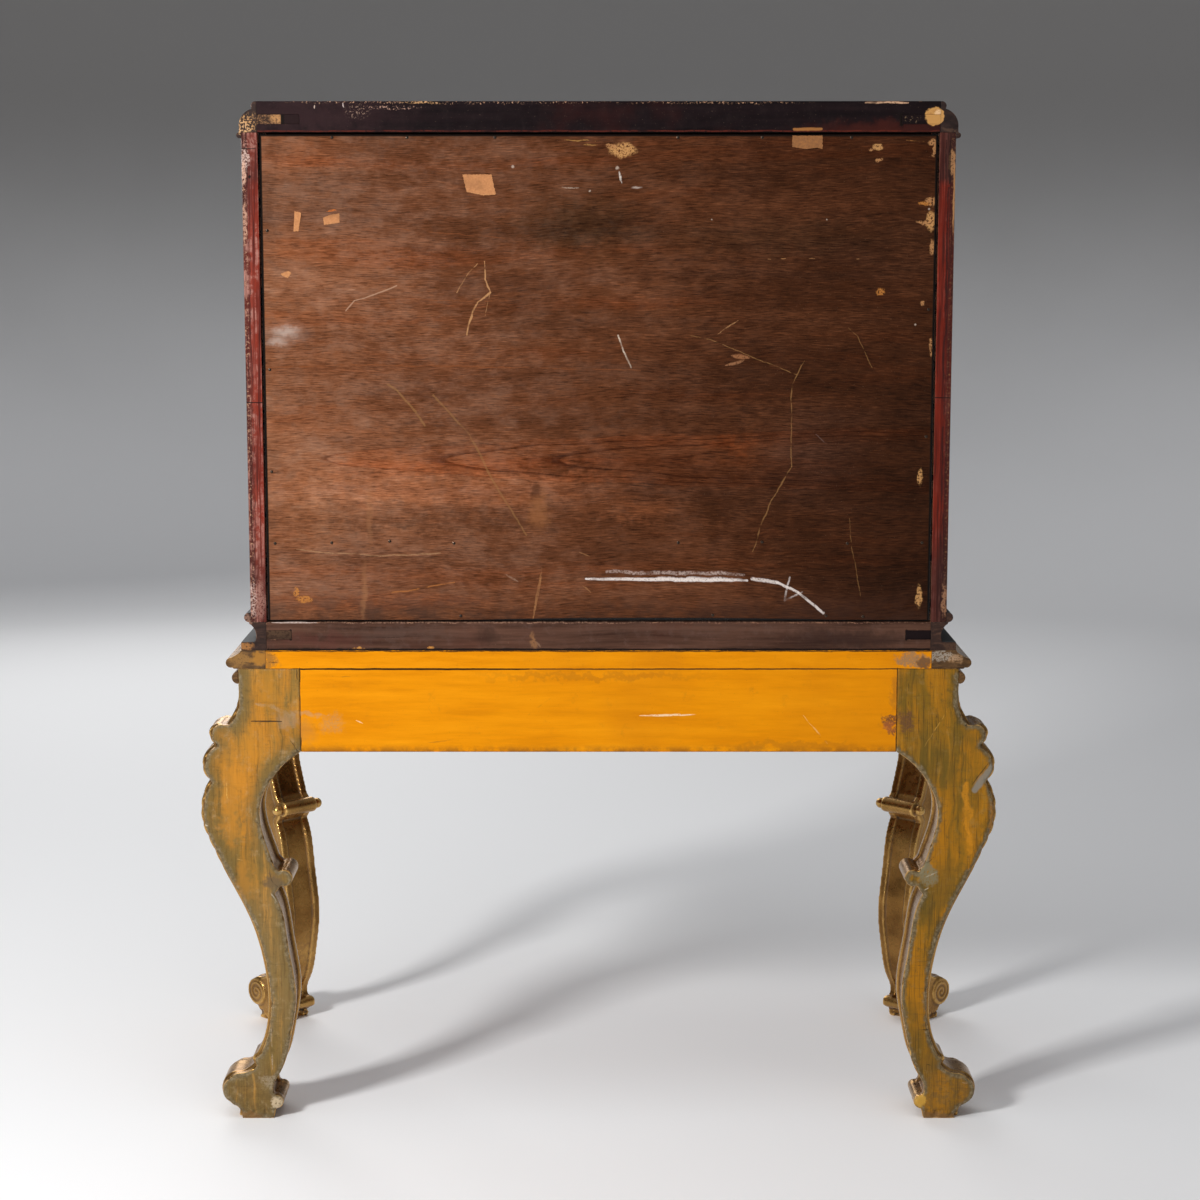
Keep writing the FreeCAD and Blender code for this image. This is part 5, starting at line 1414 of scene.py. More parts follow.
@dataclass
class Stand:
    """The gilt stand: legs, aprons, mouldings and glue blocks."""

    apron_marks: tuple[Mark, ...] = (
        Scratch((448, 608), (390, 606), 9, (420, 280, 150), 0.42, 6, 0.34),
        Patch((386, 594), (14, 10), (400, 240, 110), 0.4, 9, 0.8, 0.44),
        Patch((430, 580), (14, 14), (360, 180, 50), 0.4, 8, 0.8),
        Patch((-422, 596), (14, 12), (135, 50, 24), 0.85, 9, 0.25, 0.44),
        Patch((-416, 590), (9, 6), (360, 105, 30), 0.65, 6, 0.3),
        Patch((-428, 642), (6, 24), (340, 125, 14), 0.55, 6, 0.5),
        Scratch((-60, 607), (-142, 608), 3, (860, 660, 420), 0.85, 1, 0.4),
        Scratch((-295, 606), (-332, 565), 2, (820, 520, 200), 0.5),
        Scratch((351, 599), (340, 594), 1.8, (900, 660, 360), 0.75),
        Scratch((386, 665), (343, 664), 1.2, (300, 110, 12), 0.65),
        Scratch((250, 566), (205, 572), 1.8, (300, 110, 14), 0.6),
        Scratch((60, 640), (110, 600), 1, (360, 130, 14), 0.45),
        Scratch((248, 625), (238, 602), 1.2, (340, 120, 12), 0.5),
        Patch((10, 664), (140, 5), (440, 150, 6), 0.5, 8, 0.6),
        Patch((-280, 562), (90, 5), (420, 145, 6), 0.5, 8, 0.6),
        Scratch((430.5, 656), (430.5, 676), 2, (50, 20, 8), 0.9, 0.8, 0.25, taper=0.2),
        Scratch((430.5, 553), (430.5, 574), 1.8, (80, 34, 10), 0.8, 1, 0.3, taper=0.4),
        Scratch((-430.5, 553), (-430.5, 676), 1.6, (70, 28, 10), 0.8, 0.8, 0.34, taper=0.2),
        # Painted shadow in the gap between the strip and the apron.
        Scratch((440, 674.8), (100, 674.6), 3, GAP_SHADOW, 0.97, 0.4, 0.18, taper=0.3),
        Scratch((100, 674.6), (-440, 675), 2.2, (50, 22, 8), 0.9, 0.4, 0.28, taper=0.3),
        Patch((-456, 689), (24, 10), (260, 165, 90), 0.8, 8, 0.25, 0.42),
        Patch((-468, 686), (12, 8), (115, 52, 24), 0.75, 6, 0.25),
        Patch((476, 689), (14, 13), (300, 135, 30), 0.85, 7, 0.4, 0.4),
        Scratch((480, 685), (460, 684.5), 1.8, (80, 36, 12), 0.8),
        Scratch((480, 695), (464, 695.5), 1.6, (80, 36, 12), 0.75),
        # Painted shadow along the top of the strip, under the case.
        Scratch((480, 700.8), (-480, 700.8), 2, (30, 14, 7), 0.85, 1, 0.34, taper=0.1),
    )
    leg_marks: tuple[Mark, ...] = (
        Patch((475, 649), (16, 30), (470, 195, 14), 0.55, 10, 0.85),
        Patch((503, 561), (13, 26), (520, 215, 18), 0.55, 10, 0.85),
        Patch((530, 512), (12, 32), (550, 218, 18), 0.6, 12, 0.85),
        Patch((534, 452), (12, 36), (540, 208, 16), 0.6, 12, 0.85),
        Patch((516, 364), (12, 26), (480, 200, 22), 0.5, 10, 0.85),
        Scratch((494, 625), (437, 605), 8, (360, 255, 150), 0.45, 6, 0.42),
        Patch((448, 600), (16, 10), (320, 220, 130), 0.45, 9, 0.5),
        Scratch((502, 598), (458, 598), 2.4, (34, 17, 9), 0.9, 0.6, 0.28, taper=0.3),
        *run_of(((435, 674), (434, 657)), 1.6, (34, 16, 8), 0.85, broken=0.3),
        *run_of(((447, 571), (440, 560), (433, 549)), 1.4, (40, 20, 9), 0.8, broken=0.34),
        Scratch((540, 508), (539, 473), 1.4, (780, 460, 120), 0.6),
        Scratch((535, 393), (517, 391), 1.6, (760, 440, 120), 0.6),
        Scratch((576, 445), (568, 443), 1.8, (620, 520, 400), 0.7),
        Patch((474, 361), (13, 13), (125, 85, 45), 0.8, 7, 0.35),
        Scratch((480, 380), (468, 352), 1.6, (30, 16, 8), 0.8, bow=4),
        Scratch((522, 328), (497, 294), 2, (520, 430, 310), 0.55),
        Scratch((480, 345), (468, 327), 1.8, (580, 500, 380), 0.65),
        *run_of(((482, 143), (482, 106), (481, 74)), 2.4, (460, 370, 260), 0.55, broken=0.46),
        Patch((488, 58), (12, 10), (340, 265, 170), 0.6, 7, 0.35, 0.46),
        Patch((472, 22), (10, 12), (580, 450, 290), 0.85, 5, 0.25, 0.42),
        Patch((522, 3), (24, 5), (200, 100, 30), 0.8, 6, 0.3, 0.4),
        Patch((-444, 600), (12, 16), (120, 52, 26), 0.75, 8, 0.3, 0.44),
        Scratch((-447, 668), (-447, 560), 1.4, (45, 22, 8), 0.7, 2, 0.38),
        Scratch((-488, 622), (-489, 540), 1.6, (55, 28, 9), 0.65, 2, 0.4),
        Scratch((-505, 615), (-470, 560), 1.3, (600, 330, 60), 0.55),
        Scratch((-572, 534), (-546, 497), 10.5, (230, 200, 155), 0.9, 2, 0.3, taper=0.15),
        Scratch((-564, 536), (-542, 504), 1.4, (40, 24, 12), 0.85, 1, 0.3),
        Patch((-576, 455), (10, 34), (300, 130, 20), 0.75, 8, 0.3, 0.4),
        *run_of(((-533, 501), (-539, 435), (-540, 402)), 11, (600, 235, 10), 0.62, ragged=5,
                broken=0.4, taper=0.2),
        Patch((-480, 372), (14, 15), (200, 170, 95), 0.85, 7, 0.25, 0.42),
        Scratch((-475, 366), (-497, 376), 2.2, (600, 540, 420), 0.8),
        Scratch((-482, 352), (-474, 347), 1.8, (540, 470, 340), 0.75),
        Scratch((-465, 386), (-488, 396), 2.2, (35, 20, 8), 0.8, bow=4),
        Scratch((-461, 242), (-483, 239), 1.2, (620, 420, 180), 0.5),
        Scratch((-463, 234), (-488, 233), 2, (28, 15, 6), 0.9, 2, 0.3),
        Scratch((-468, 136), (-490, 135), 1.8, (28, 15, 6), 0.85, 2, 0.32),
        Scratch((-474, 84), (-491, 83), 1.6, (28, 15, 6), 0.85, 2, 0.34),
        Patch((-476, 28), (9, 13), (620, 340, 50), 0.75, 5, 0.3),
        Patch((-506, 3), (26, 5), (200, 95, 26), 0.8, 6, 0.3, 0.42),
        Scratch((-536, 56), (-546, 54), 2.6, (500, 420, 300), 0.75),
    )
    end_marks: tuple[Mark, ...] = (
        Patch((-496, 693), (22, 7), (340, 285, 225), 0.8, 7, 0.25, 0.47),
        Patch((-514, 690), (10, 8), (360, 205, 100), 0.75, 5, 0.3, 0.46),
        Patch((516, 688), (16, 9), (300, 150, 40), 0.75, 6, 0.35, 0.42),
        Patch((490, 691), (12, 8), (440, 190, 24), 0.7, 6, 0.4),
        Scratch((518, 684), (482, 683), 1.6, (34, 18, 9), 0.8),
    )

    def build(self) -> None:
        """Carve the legs, then dress the boards and mouldings."""
        leg_paint = LegPaint("rear_leg_paint", self.leg_marks)
        for word, side in (("left", -1), ("right", 1)):
            CarvedLeg("rear_leg_" + word, side, False, leg_paint, Slot.LEG_BACK).build()
            CarvedLeg("front_leg_" + word, side, True, GILT, Slot.GILT, voxel=0.00178).build()
        ochre = OchrePaint("ochre_paint_back", self.apron_marks)
        for node in ("rear_apron", "stand_rear_strip"):
            dress(node, ochre, Slot.OCHRE, 0.0007)
        ends = SawnEnd("stand_moulding_end", (0.034, 0.0175, 0.008), (0.105, 0.052, 0.018),
                       (0.26, 0.13, 0.04), self.end_marks)
        for node in ("stand_moulding_left", "stand_moulding_right", "apron_bead_left", "apron_bead_right"):
            dress(node, GILT, Slot.GILT, 0.0007, back=ends)
        for node in ("stand_moulding_front", "apron_bead_front", "front_apron", "side_apron_left",
                     "side_apron_right"):
            dress(node, GILT, Slot.GILT)
        blocks = PlainTimber("glue_block_softwood", Run.X, (0.22, 0.12, 0.05), (0.5, 0.31, 0.15))
        dress("stand_corner_blocks", blocks, Slot.RAW)
        self.apron_screw((0.398, 0.619))

    @staticmethod
    def apron_screw(spot: Spot) -> Object:
        """Sink an old slotted screw in the rear apron."""
        screw = FastenerMaker().slotted_screw("rear_apron_screw", 0.0034)
        screw.data.transform(Matrix.Translation((spot[0], BACK - 0.0012, spot[1])))
        return carry(screw, "cabinet", NAIL_IRON, Slot.IRON)


@dataclass
class FastenerMaker:
    """Makes nail and screw heads that face +Y, with their centre at the origin."""

    sides: int = 14
    thickness: float = 0.001
    rise: float = 0.0003
    insets: Spot = (0.3, 0.34)

    def nail(self, name: str, radius: float) -> Object:
        """Make a hand-struck nail head with a domed, chamfered face."""
        head = Bench.added(name, bpy.ops.mesh.primitive_cylinder_add, vertices=self.sides, radius=radius,
                           depth=self.thickness, rotation=(math.radians(-90.0), 0.0, 0.0))
        Bench.settle(head)
        self.dome(head, radius)
        return Bench.smooth(head, 50.0)

    def slotted_screw(self, name: str, radius: float) -> Object:
        """Make a slotted screw head."""
        head = self.nail(name, radius)
        cutter = Bench.added("slot_cutter", bpy.ops.mesh.primitive_cube_add, size=1.0,
                             location=(0.0, 0.0008, 0.0))
        cutter.scale = (radius * 2.4, 0.0012, radius * 0.28)
        cutter.rotation_euler = Euler((0.0, math.radians(34.0), 0.0))
        Bench.settle(cutter)
        Bench.apply(head, "BOOLEAN", operation="DIFFERENCE", object=cutter, solver="EXACT")
        bpy.data.objects.remove(cutter)
        return head

    def dome(self, head: Object, radius: float) -> None:
        """Inset the outer face twice and raise it into a low dome."""
        for share in self.insets:
            with Bench.editing(head, "DESELECT"):
                Bench.pick(head, "FACE", lambda face: face.normal.y > 0.9 and len(face.vertices) > 4)
                bpy.ops.mesh.inset(thickness=radius * share, depth=self.rise)


@dataclass
class BackPanel:
    """The nailed veneer back with its paper scraps and marks."""

    bow: Spot = (-0.333, 0.171)
    bow_rise: float = 0.003
    bow_height: float = 0.05
    cuts: tuple[tuple[int, int], ...] = ((0, 60), (2, 44))
    dent: float = 0.0004
    nail_radius: float = 0.0021
    nails: tuple[Spot, ...] = (
        (0.373, 1.429), (0.268, 1.429), (0.145, 1.429), (-0.111, 1.429), (-0.229, 1.429), (-0.354, 1.429),
        (0.382, 0.858), (0.299, 0.86), (0.207, 0.857), (-0.114, 0.858), (-0.234, 0.859), (-0.356, 0.857),
        (-0.463, 0.858), (0.463, 0.857), (0.198, 0.752), (-0.164, 0.753), (-0.327, 0.752), (-0.38, 0.751),
        (0.466, 1.3), (0.466, 1.105), (0.466, 0.96), (-0.466, 1.19), (-0.466, 1.01),
    )
    scraps: tuple[tuple[str, Finish, tuple[Spot, ...]], ...] = (
        ("paper_scrap_large", PAPER,
         ((0.191, 1.378), (0.15, 1.378), (0.144, 1.35), (0.162, 1.349), (0.185, 1.354))),
        ("paper_scrap_strip", PAPER, ((0.427, 1.327), (0.4175, 1.325), (0.422, 1.299), (0.429, 1.299))),
        ("paper_scrap_corner", PAPER,
         ((0.387, 1.318), (0.377, 1.322), (0.364, 1.324), (0.364, 1.311), (0.386, 1.308))),
        ("paper_scrap_bit", PAPER,
         ((0.448, 1.24), (0.437, 1.244), (0.433, 1.241), (0.438, 1.234), (0.446, 1.237))),
        ("paper_tape", TAPE, ((-0.271, 1.4315), (-0.3135, 1.4315), (-0.3135, 1.413), (-0.306, 1.415),
                              (-0.29, 1.413), (-0.271, 1.416))),
    )

    @staticmethod
    def stains() -> tuple[Mark, ...]:
        """Give the soft clouds of the back, which tint the wood below."""
        clouds = (
            ((420, 1402), (56, 20), (1200, 1060, 940), 0.6),
            ((452, 1410), (18, 12), (550, 620, 700), 0.6),
            ((464, 1330), (14, 60), (600, 620, 660), 0.6),
            ((370, 1350), (110, 36), (760, 820, 900), 0.8),
            ((330, 800), (160, 40), (780, 800, 860), 0.8),
            ((300, 1415), (60, 14), (720, 720, 740), 0.6),
            ((120, 1300), (110, 14), (600, 620, 620), 0.6),
            ((17, 1312), (70, 34), (550, 680, 700), 0.8),
            ((100, 1180), (90, 20), (700, 700, 700), 0.6),
            ((-305, 985), (60, 48), (980, 1220, 1750), 0.75),
            ((-250, 1290), (150, 20), (660, 800, 860), 0.6),
            ((180, 935), (230, 18), (1750, 1680, 1620), 0.8),
            ((210, 884), (250, 10), (560, 540, 520), 0.7),
            ((-60, 906), (60, 14), (1850, 1800, 1700), 0.75),
            ((40, 966), (60, 10), (560, 540, 520), 0.75),
            ((-190, 998), (32, 8), (1600, 1300, 1000), 0.6),
            ((410, 900), (30, 60), (1120, 1100, 1020), 0.6),
        )
        tints = tuple(Patch(spot, half, colour, share, 12, 0.9, blend="MULTIPLY")
                      for spot, half, colour, share in clouds)
        return tints + (
            Patch((86, 904), (11, 22), (300, 115, 40), 0.44, 8, 0.9),
            Patch((90, 934), (7, 10), (44, 14, 6), 0.65, 6, 0.6),
            Patch((327, 900), (3, 34), (300, 135, 60), 0.3, 3, 0.8),
            Patch((337, 785), (3.5, 36), (310, 140, 62), 0.42, 3, 0.8),
            Patch((441, 1159), (14, 6), SMEAR, 0.48, 4, 0.9),
            Patch((457, 1144), (11, 5.2), SMEAR, 0.44, 4, 0.9),
            Patch((440, 1154), (24, 12), SMEAR, 0.18, 6, 0.9),
        )

    @staticmethod
    def chips() -> tuple[Mark, ...]:
        """Give the chips and crumbs where the veneer is torn down to pale wood."""
        pale, tan, amber = (500, 255, 92), TAN, (430, 165, 36)
        crumbs = (
            ((-34, 1412), (18, 9), pale),
            ((-18, 1417), (7, 3.4), tan),
            ((-390, 1416), (6.8, 5), pale),
            ((-381.5, 1414.5), (3.6, 2.4), tan),
            ((-392, 1398.5), (5.4, 3), tan),
            ((-469, 1421), (7, 5), tan),
            ((-470, 1409), (3, 8), tan),
            ((-466.5, 1340), (8, 6.6), tan),
            ((-458, 1337), (9, 2.4), amber),
            ((-467, 1314), (7, 13), pale),
            ((-460, 1312), (11, 3), tan),
            ((-470, 1278), (4, 11), tan),
            ((-470.5, 1137), (3, 13), tan),
            ((-399, 1215), (7.2, 4.6), amber),
            ((-456, 1199), (2.4, 4), tan),
            ((-459, 951), (3.6, 12), pale),
            ((-459, 780), (4.2, 16), pale),
            ((433, 786), (3, 6), amber),
            ((423, 776), (10, 6), amber),
        )
        dots = ((120, 1389, 1.7), (13, 1355, 1.4), (-26, 1387, 2.2), (-464, 1330, 1.2),
                (-159, 1315, 0.9), (-321, 1315, 1), (-448, 1169, 1.3))
        return (
            *(Patch(spot, half, colour, 0.88, 3, 0.25, 0.46) for spot, half, colour in crumbs),
            *(Patch((x, z), (reach, reach), (540, 420, 330), 0.62, 1, 0.6) for x, z, reach in dots),
            Patch((-54, 1360), (6, 1.6), SMEAR, 0.6, 1, 0.6),
        )

    @staticmethod
    def scratches() -> tuple[Mark, ...]:
        """Give the scratches, rubbed lines and wandering grain lines of the back."""
        tan, light, red, rose = TAN, (460, 235, 100), (205, 64, 22), (400, 235, 150)
        strokes = (
            (((294, 1206), (210, 1202), (126, 1202)), 2, red, 0.55),
            (((475, 1108), (343, 1112), (126, 1108)), 2.6, red, 0.62),
            (((126, 1108), (-60, 1104)), 2, red, 0.5),
            (((293, 1303), (125, 1289)), 1.8, red, 0.5),
            (((432, 848), (381, 843), (312, 839), (227, 843)), 2.4, (360, 190, 95), 0.6),
            (((200, 1213), (186, 1238), (171, 1255)), 1.7, light, 0.6),
            (((161, 1258), (159, 1233), (153, 1213)), 2.1, light, 0.8),
            (((153, 1213), (170, 1201), (178, 1186), (186, 1154)), 2.9, light, 0.85),
            (((154, 1211), (161, 1182)), 1.4, light, 0.55),
            (((299, 1084), (286, 1076), (269, 1057), (247, 1026)), 3.4, OLIVE_TAN, 0.5),
            (((235, 1069), (184, 1013), (151, 948), (103, 869)), 3, OLIVE_TAN, 0.42),
            (((296, 785), (244, 794), (207, 800)), 2.4, ORANGE, 0.6),
            (((-27, 1154), (-36, 1130), (-46, 1108)), 2.4, (600, 480, 370), 0.8),
            (((-117, 1155), (-154, 1149), (-205, 1128), (-280, 1098)), 1.5, OLIVE_TAN, 0.55),
            (((-350, 1167), (-367, 1152), (-388, 1108)), 1.5, OLIVE_TAN, 0.5),
            (((-292, 1118), (-274, 1085), (-274, 1002), (-275, 968)), 1.8, OLIVE_TAN, 0.58),
            (((-275, 968), (-248, 920), (-231, 879), (-221, 845)), 2.1, OLIVE_TAN, 0.58),
            (((-358, 893), (-363, 851), (-376, 779)), 1.5, OLIVE_TAN, 0.42),
        )
        runs = tuple(piece for path, width, colour, share in strokes
                     for piece in run_of(path, width, colour, share, ragged=1.5, broken=0.38, taper=0.15))
        singles = (
            ((381.5, 1326.2), (368, 1328.5), 2.6, (440, 120, 26), 0.85),
            ((382, 1209), (325, 1223), 1.4, rose, 0.45),
            ((81, 822), (94, 749), 3.8, (360, 165, 65), 0.65),
            ((133, 812), (116, 801), 3, (300, 190, 130), 0.5),
            ((28, 845), (14, 838), 2.2, tan, 0.45),
            ((28, 800), (11, 786), 2.2, tan, 0.45),
            ((54, 1360), (26, 1360), 1.6, (560, 440, 340), 0.62),
            ((48, 1426), (4, 1424), 2.2, (400, 210, 60), 0.55),
            ((21, 1418), (1, 1419), 2, (400, 210, 60), 0.55),
            ((-28.5, 1382), (-32, 1366), 3.2, (700, 620, 540), 0.8),
            ((-429, 1425), (-466, 1423), 1.5, (420, 180, 50), 0.75),
            ((-14, 1223), (-86, 1223), 1.6, red, 0.45),
            ((-168, 1155), (-200, 1177), 1.9, light, 0.65),
            ((-187, 1125), (-213, 1122), 6, (310, 130, 56), 0.75),
            ((-180, 1111), (-207, 1119), 4, (330, 150, 70), 0.7),
            ((-229, 1261), (-244, 1261), 1.6, tan, 0.6),
            ((-256, 1261), (-264, 1261), 1.6, tan, 0.6),
            ((-296, 1261), (-304, 1261), 1.5, tan, 0.55),
            ((-363, 1261), (-371, 1261), 1.6, tan, 0.6),
            ((-308, 1013), (-329, 996), 2, (150, 90, 75), 0.5),
        )
        whole = run_of(((357, 1188), (345, 1202), (318, 1210), (285, 1223)), 2, rose, 0.7,
                       ragged=0.8, broken=0.16, taper=0.1)
        return runs + whole + tuple(Scratch(*single) for single in singles)

    @staticmethod
    def chalk() -> tuple[Mark, ...]:
        """Give the plain chalk strokes: a double rule and an arrow."""
        white = (720, 630, 580)
        return (
            Scratch((-13, 816), (-208, 812.5), 5.6, (600, 460, 400), 0.58, 2, 0.47, taper=0.2),
            Scratch((18, 805.8), (-213, 803.5), 5.2, white, 0.9, 1, 0.38, taper=0.4),
            Scratch((-60, 805.6), (-205, 804.2), 6.8, white, 0.74, 2, 0.44, taper=0.3),
            *run_of(((-220, 806), (-256, 801)), 5.8, white, 0.8, ragged=1, broken=0.42, taper=0.2),
            *run_of(((-256, 801), (-287, 786), (-323, 756)), 3.8, white, 0.86, ragged=1, broken=0.4,
                    taper=0.1),
            Scratch((-267, 774), (-274, 808), 3, white, 0.62, 1, 0.44, taper=0.1),
            Scratch((-267, 774), (-293, 787), 2.8, white, 0.55, 1, 0.46, taper=0.3),
        )

    def build(self) -> None:
        """Make the board, its nails and the paper left on it."""
        self.board()
        self.nail_heads()
        for name, finish, outline in self.scraps:
            self.scrap(name, finish, np.array(outline))

    def board(self) -> Object:
        """Make the panel, bowed a little along its lower edge."""
        low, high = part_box("back_panel")
        board = Bench.added("back_panel_veneered", bpy.ops.mesh.primitive_cube_add, size=1.0,
                            location=(low + high) / 2)
        board.scale = high - low
        Bench.settle(board)
        Bench.apply(board, "BEVEL", width=0.0006, segments=1)
        for axis, steps in self.cuts:
            for step in range(1, steps):
                place, normal = list(low), [0.0, 0.0, 0.0]
                place[axis] = low[axis] + (high[axis] - low[axis]) * step / steps
                normal[axis] = 1.0
                with Bench.editing(board):
                    bpy.ops.mesh.bisect(plane_co=place, plane_no=normal)
        points = Bench.points(board)
        middle, half = sum(self.bow) / 2, (self.bow[1] - self.bow[0]) / 2
        swell = np.clip(1.0 - ((points[:, 0] - middle) / half) ** 2, 0.0, 1.0) ** 0.7
        near = np.clip(1.0 - (points[:, 2] - low.z) / self.bow_height, 0.0, 1.0)
        points[:, 2] += self.bow_rise * swell * near
        wave = np.array([noise.noise(Vector((p[0] * 3.0, 4.0, p[2] * 4.0))) for p in points])
        points[:, 1] -= (points[:, 1] > high.y - 0.001) * self.dent * (0.5 + 0.5 * wave)
        Bench.put_points(board, points)
        Bench.smooth(board, 40.0)
        # Each half has its own material, because one shader can't hold all the marks.
        marks = self.stains() + self.chips() + self.scratches() + self.chalk()
        left = tuple(mark for mark in marks if mark.reach()[1] > 0.0)
        right = tuple(mark for mark in marks if mark.reach()[0] < 0.0)
        carry(board, "cabinet", BackVeneer("back_veneer_left", left), Slot.VENEER, "back_panel")
        board.data.materials.append(BackVeneer("back_veneer_right", right).material())
        board.data.materials.append(RedLacquer("red_lacquer_back", high.y).material())
        for face in board.data.polygons:
            face.material_index = 2 if face.normal.y < -0.7 else int(face.center.x < 0.0)
        return board

    def nail_heads(self) -> Object:
        """Strike the nails, each a little turned and sunk."""
        first = FastenerMaker().nail("back_nail", self.nail_radius)
        heads = []
        for number, (x, z) in enumerate(self.nails):
            tilt = Matrix.Rotation(math.radians(3.0 * math.sin(number * 2.3)), 4, "X")
            turn = Matrix.Rotation(number * 0.9, 4, "Y")
            sunk = 0.0002 + 0.0002 * math.sin(number * 1.7)
            heads.append(Bench.twin(first, Matrix.Translation((x, PANEL_BACK - sunk, z)) @ tilt @ turn))
        bpy.data.objects.remove(first)
        return carry(Bench.joined("back_nails", heads), "cabinet", NAIL_IRON, Slot.IRON)

    @staticmethod
    def scrap(name: str, finish: Finish, outline: np.ndarray) -> Object:
        """Tear a scrap of paper to an outline and lay it on the panel, with a crease and a lifted corner.

        Args:
            name: the scrap's name.
            finish: the paper.
            outline: its corners, as rows of x and z.

        Returns:
            The scrap.
        """
        scrap = Bench.added(name, bpy.ops.mesh.primitive_circle_add, vertices=48, radius=1.0,
                            fill_type="TRIFAN")
        with Bench.editing(scrap):
            bpy.ops.mesh.subdivide(number_cuts=3)
        disc = Bench.points(scrap)
        middle = outline.mean(0)
        closed = np.concatenate((outline, outline[:1]))
        ways = np.concatenate(((0.0,), np.cumsum(np.hypot(*np.diff(closed, axis=0).T))))
        turn = (np.arctan2(disc[:, 1], disc[:, 0]) / (2.0 * math.pi)) % 1.0 * ways[-1]
        edge = np.stack([np.interp(turn, ways, closed[:, axis]) for axis in range(2)], 1)
        reach = np.hypot(disc[:, 0], disc[:, 1])
        torn = np.array([noise.noise(Vector((p[0] * 420.0, p[1] * 420.0, 3.0))) for p in edge])
        flat = middle + (edge - middle) * reach[:, None]
        flat += (edge - middle) * (0.05 * torn * reach ** 4)[:, None]
        lean = 0.7 * disc[:, 0] + 0.7 * disc[:, 1]
        crease = np.exp(-((disc[:, 0] - 0.5 * disc[:, 1] - 0.1) / 0.09) ** 2)
        lift = 0.0005 * eased_step(lean, 0.35, 1.0) + 0.00018 * crease + 0.00008 * np.abs(torn)
        Bench.put_points(scrap, np.stack((flat[:, 0], PANEL_BACK + 0.00012 + lift, flat[:, 1]), 1))
        Bench.turned_out(scrap)
        Bench.apply(scrap, "SOLIDIFY", thickness=0.00022, offset=0.0)
        Bench.turned_out(scrap)
        Bench.smooth(scrap, 40.0)
        return carry(scrap, "cabinet", finish, None)


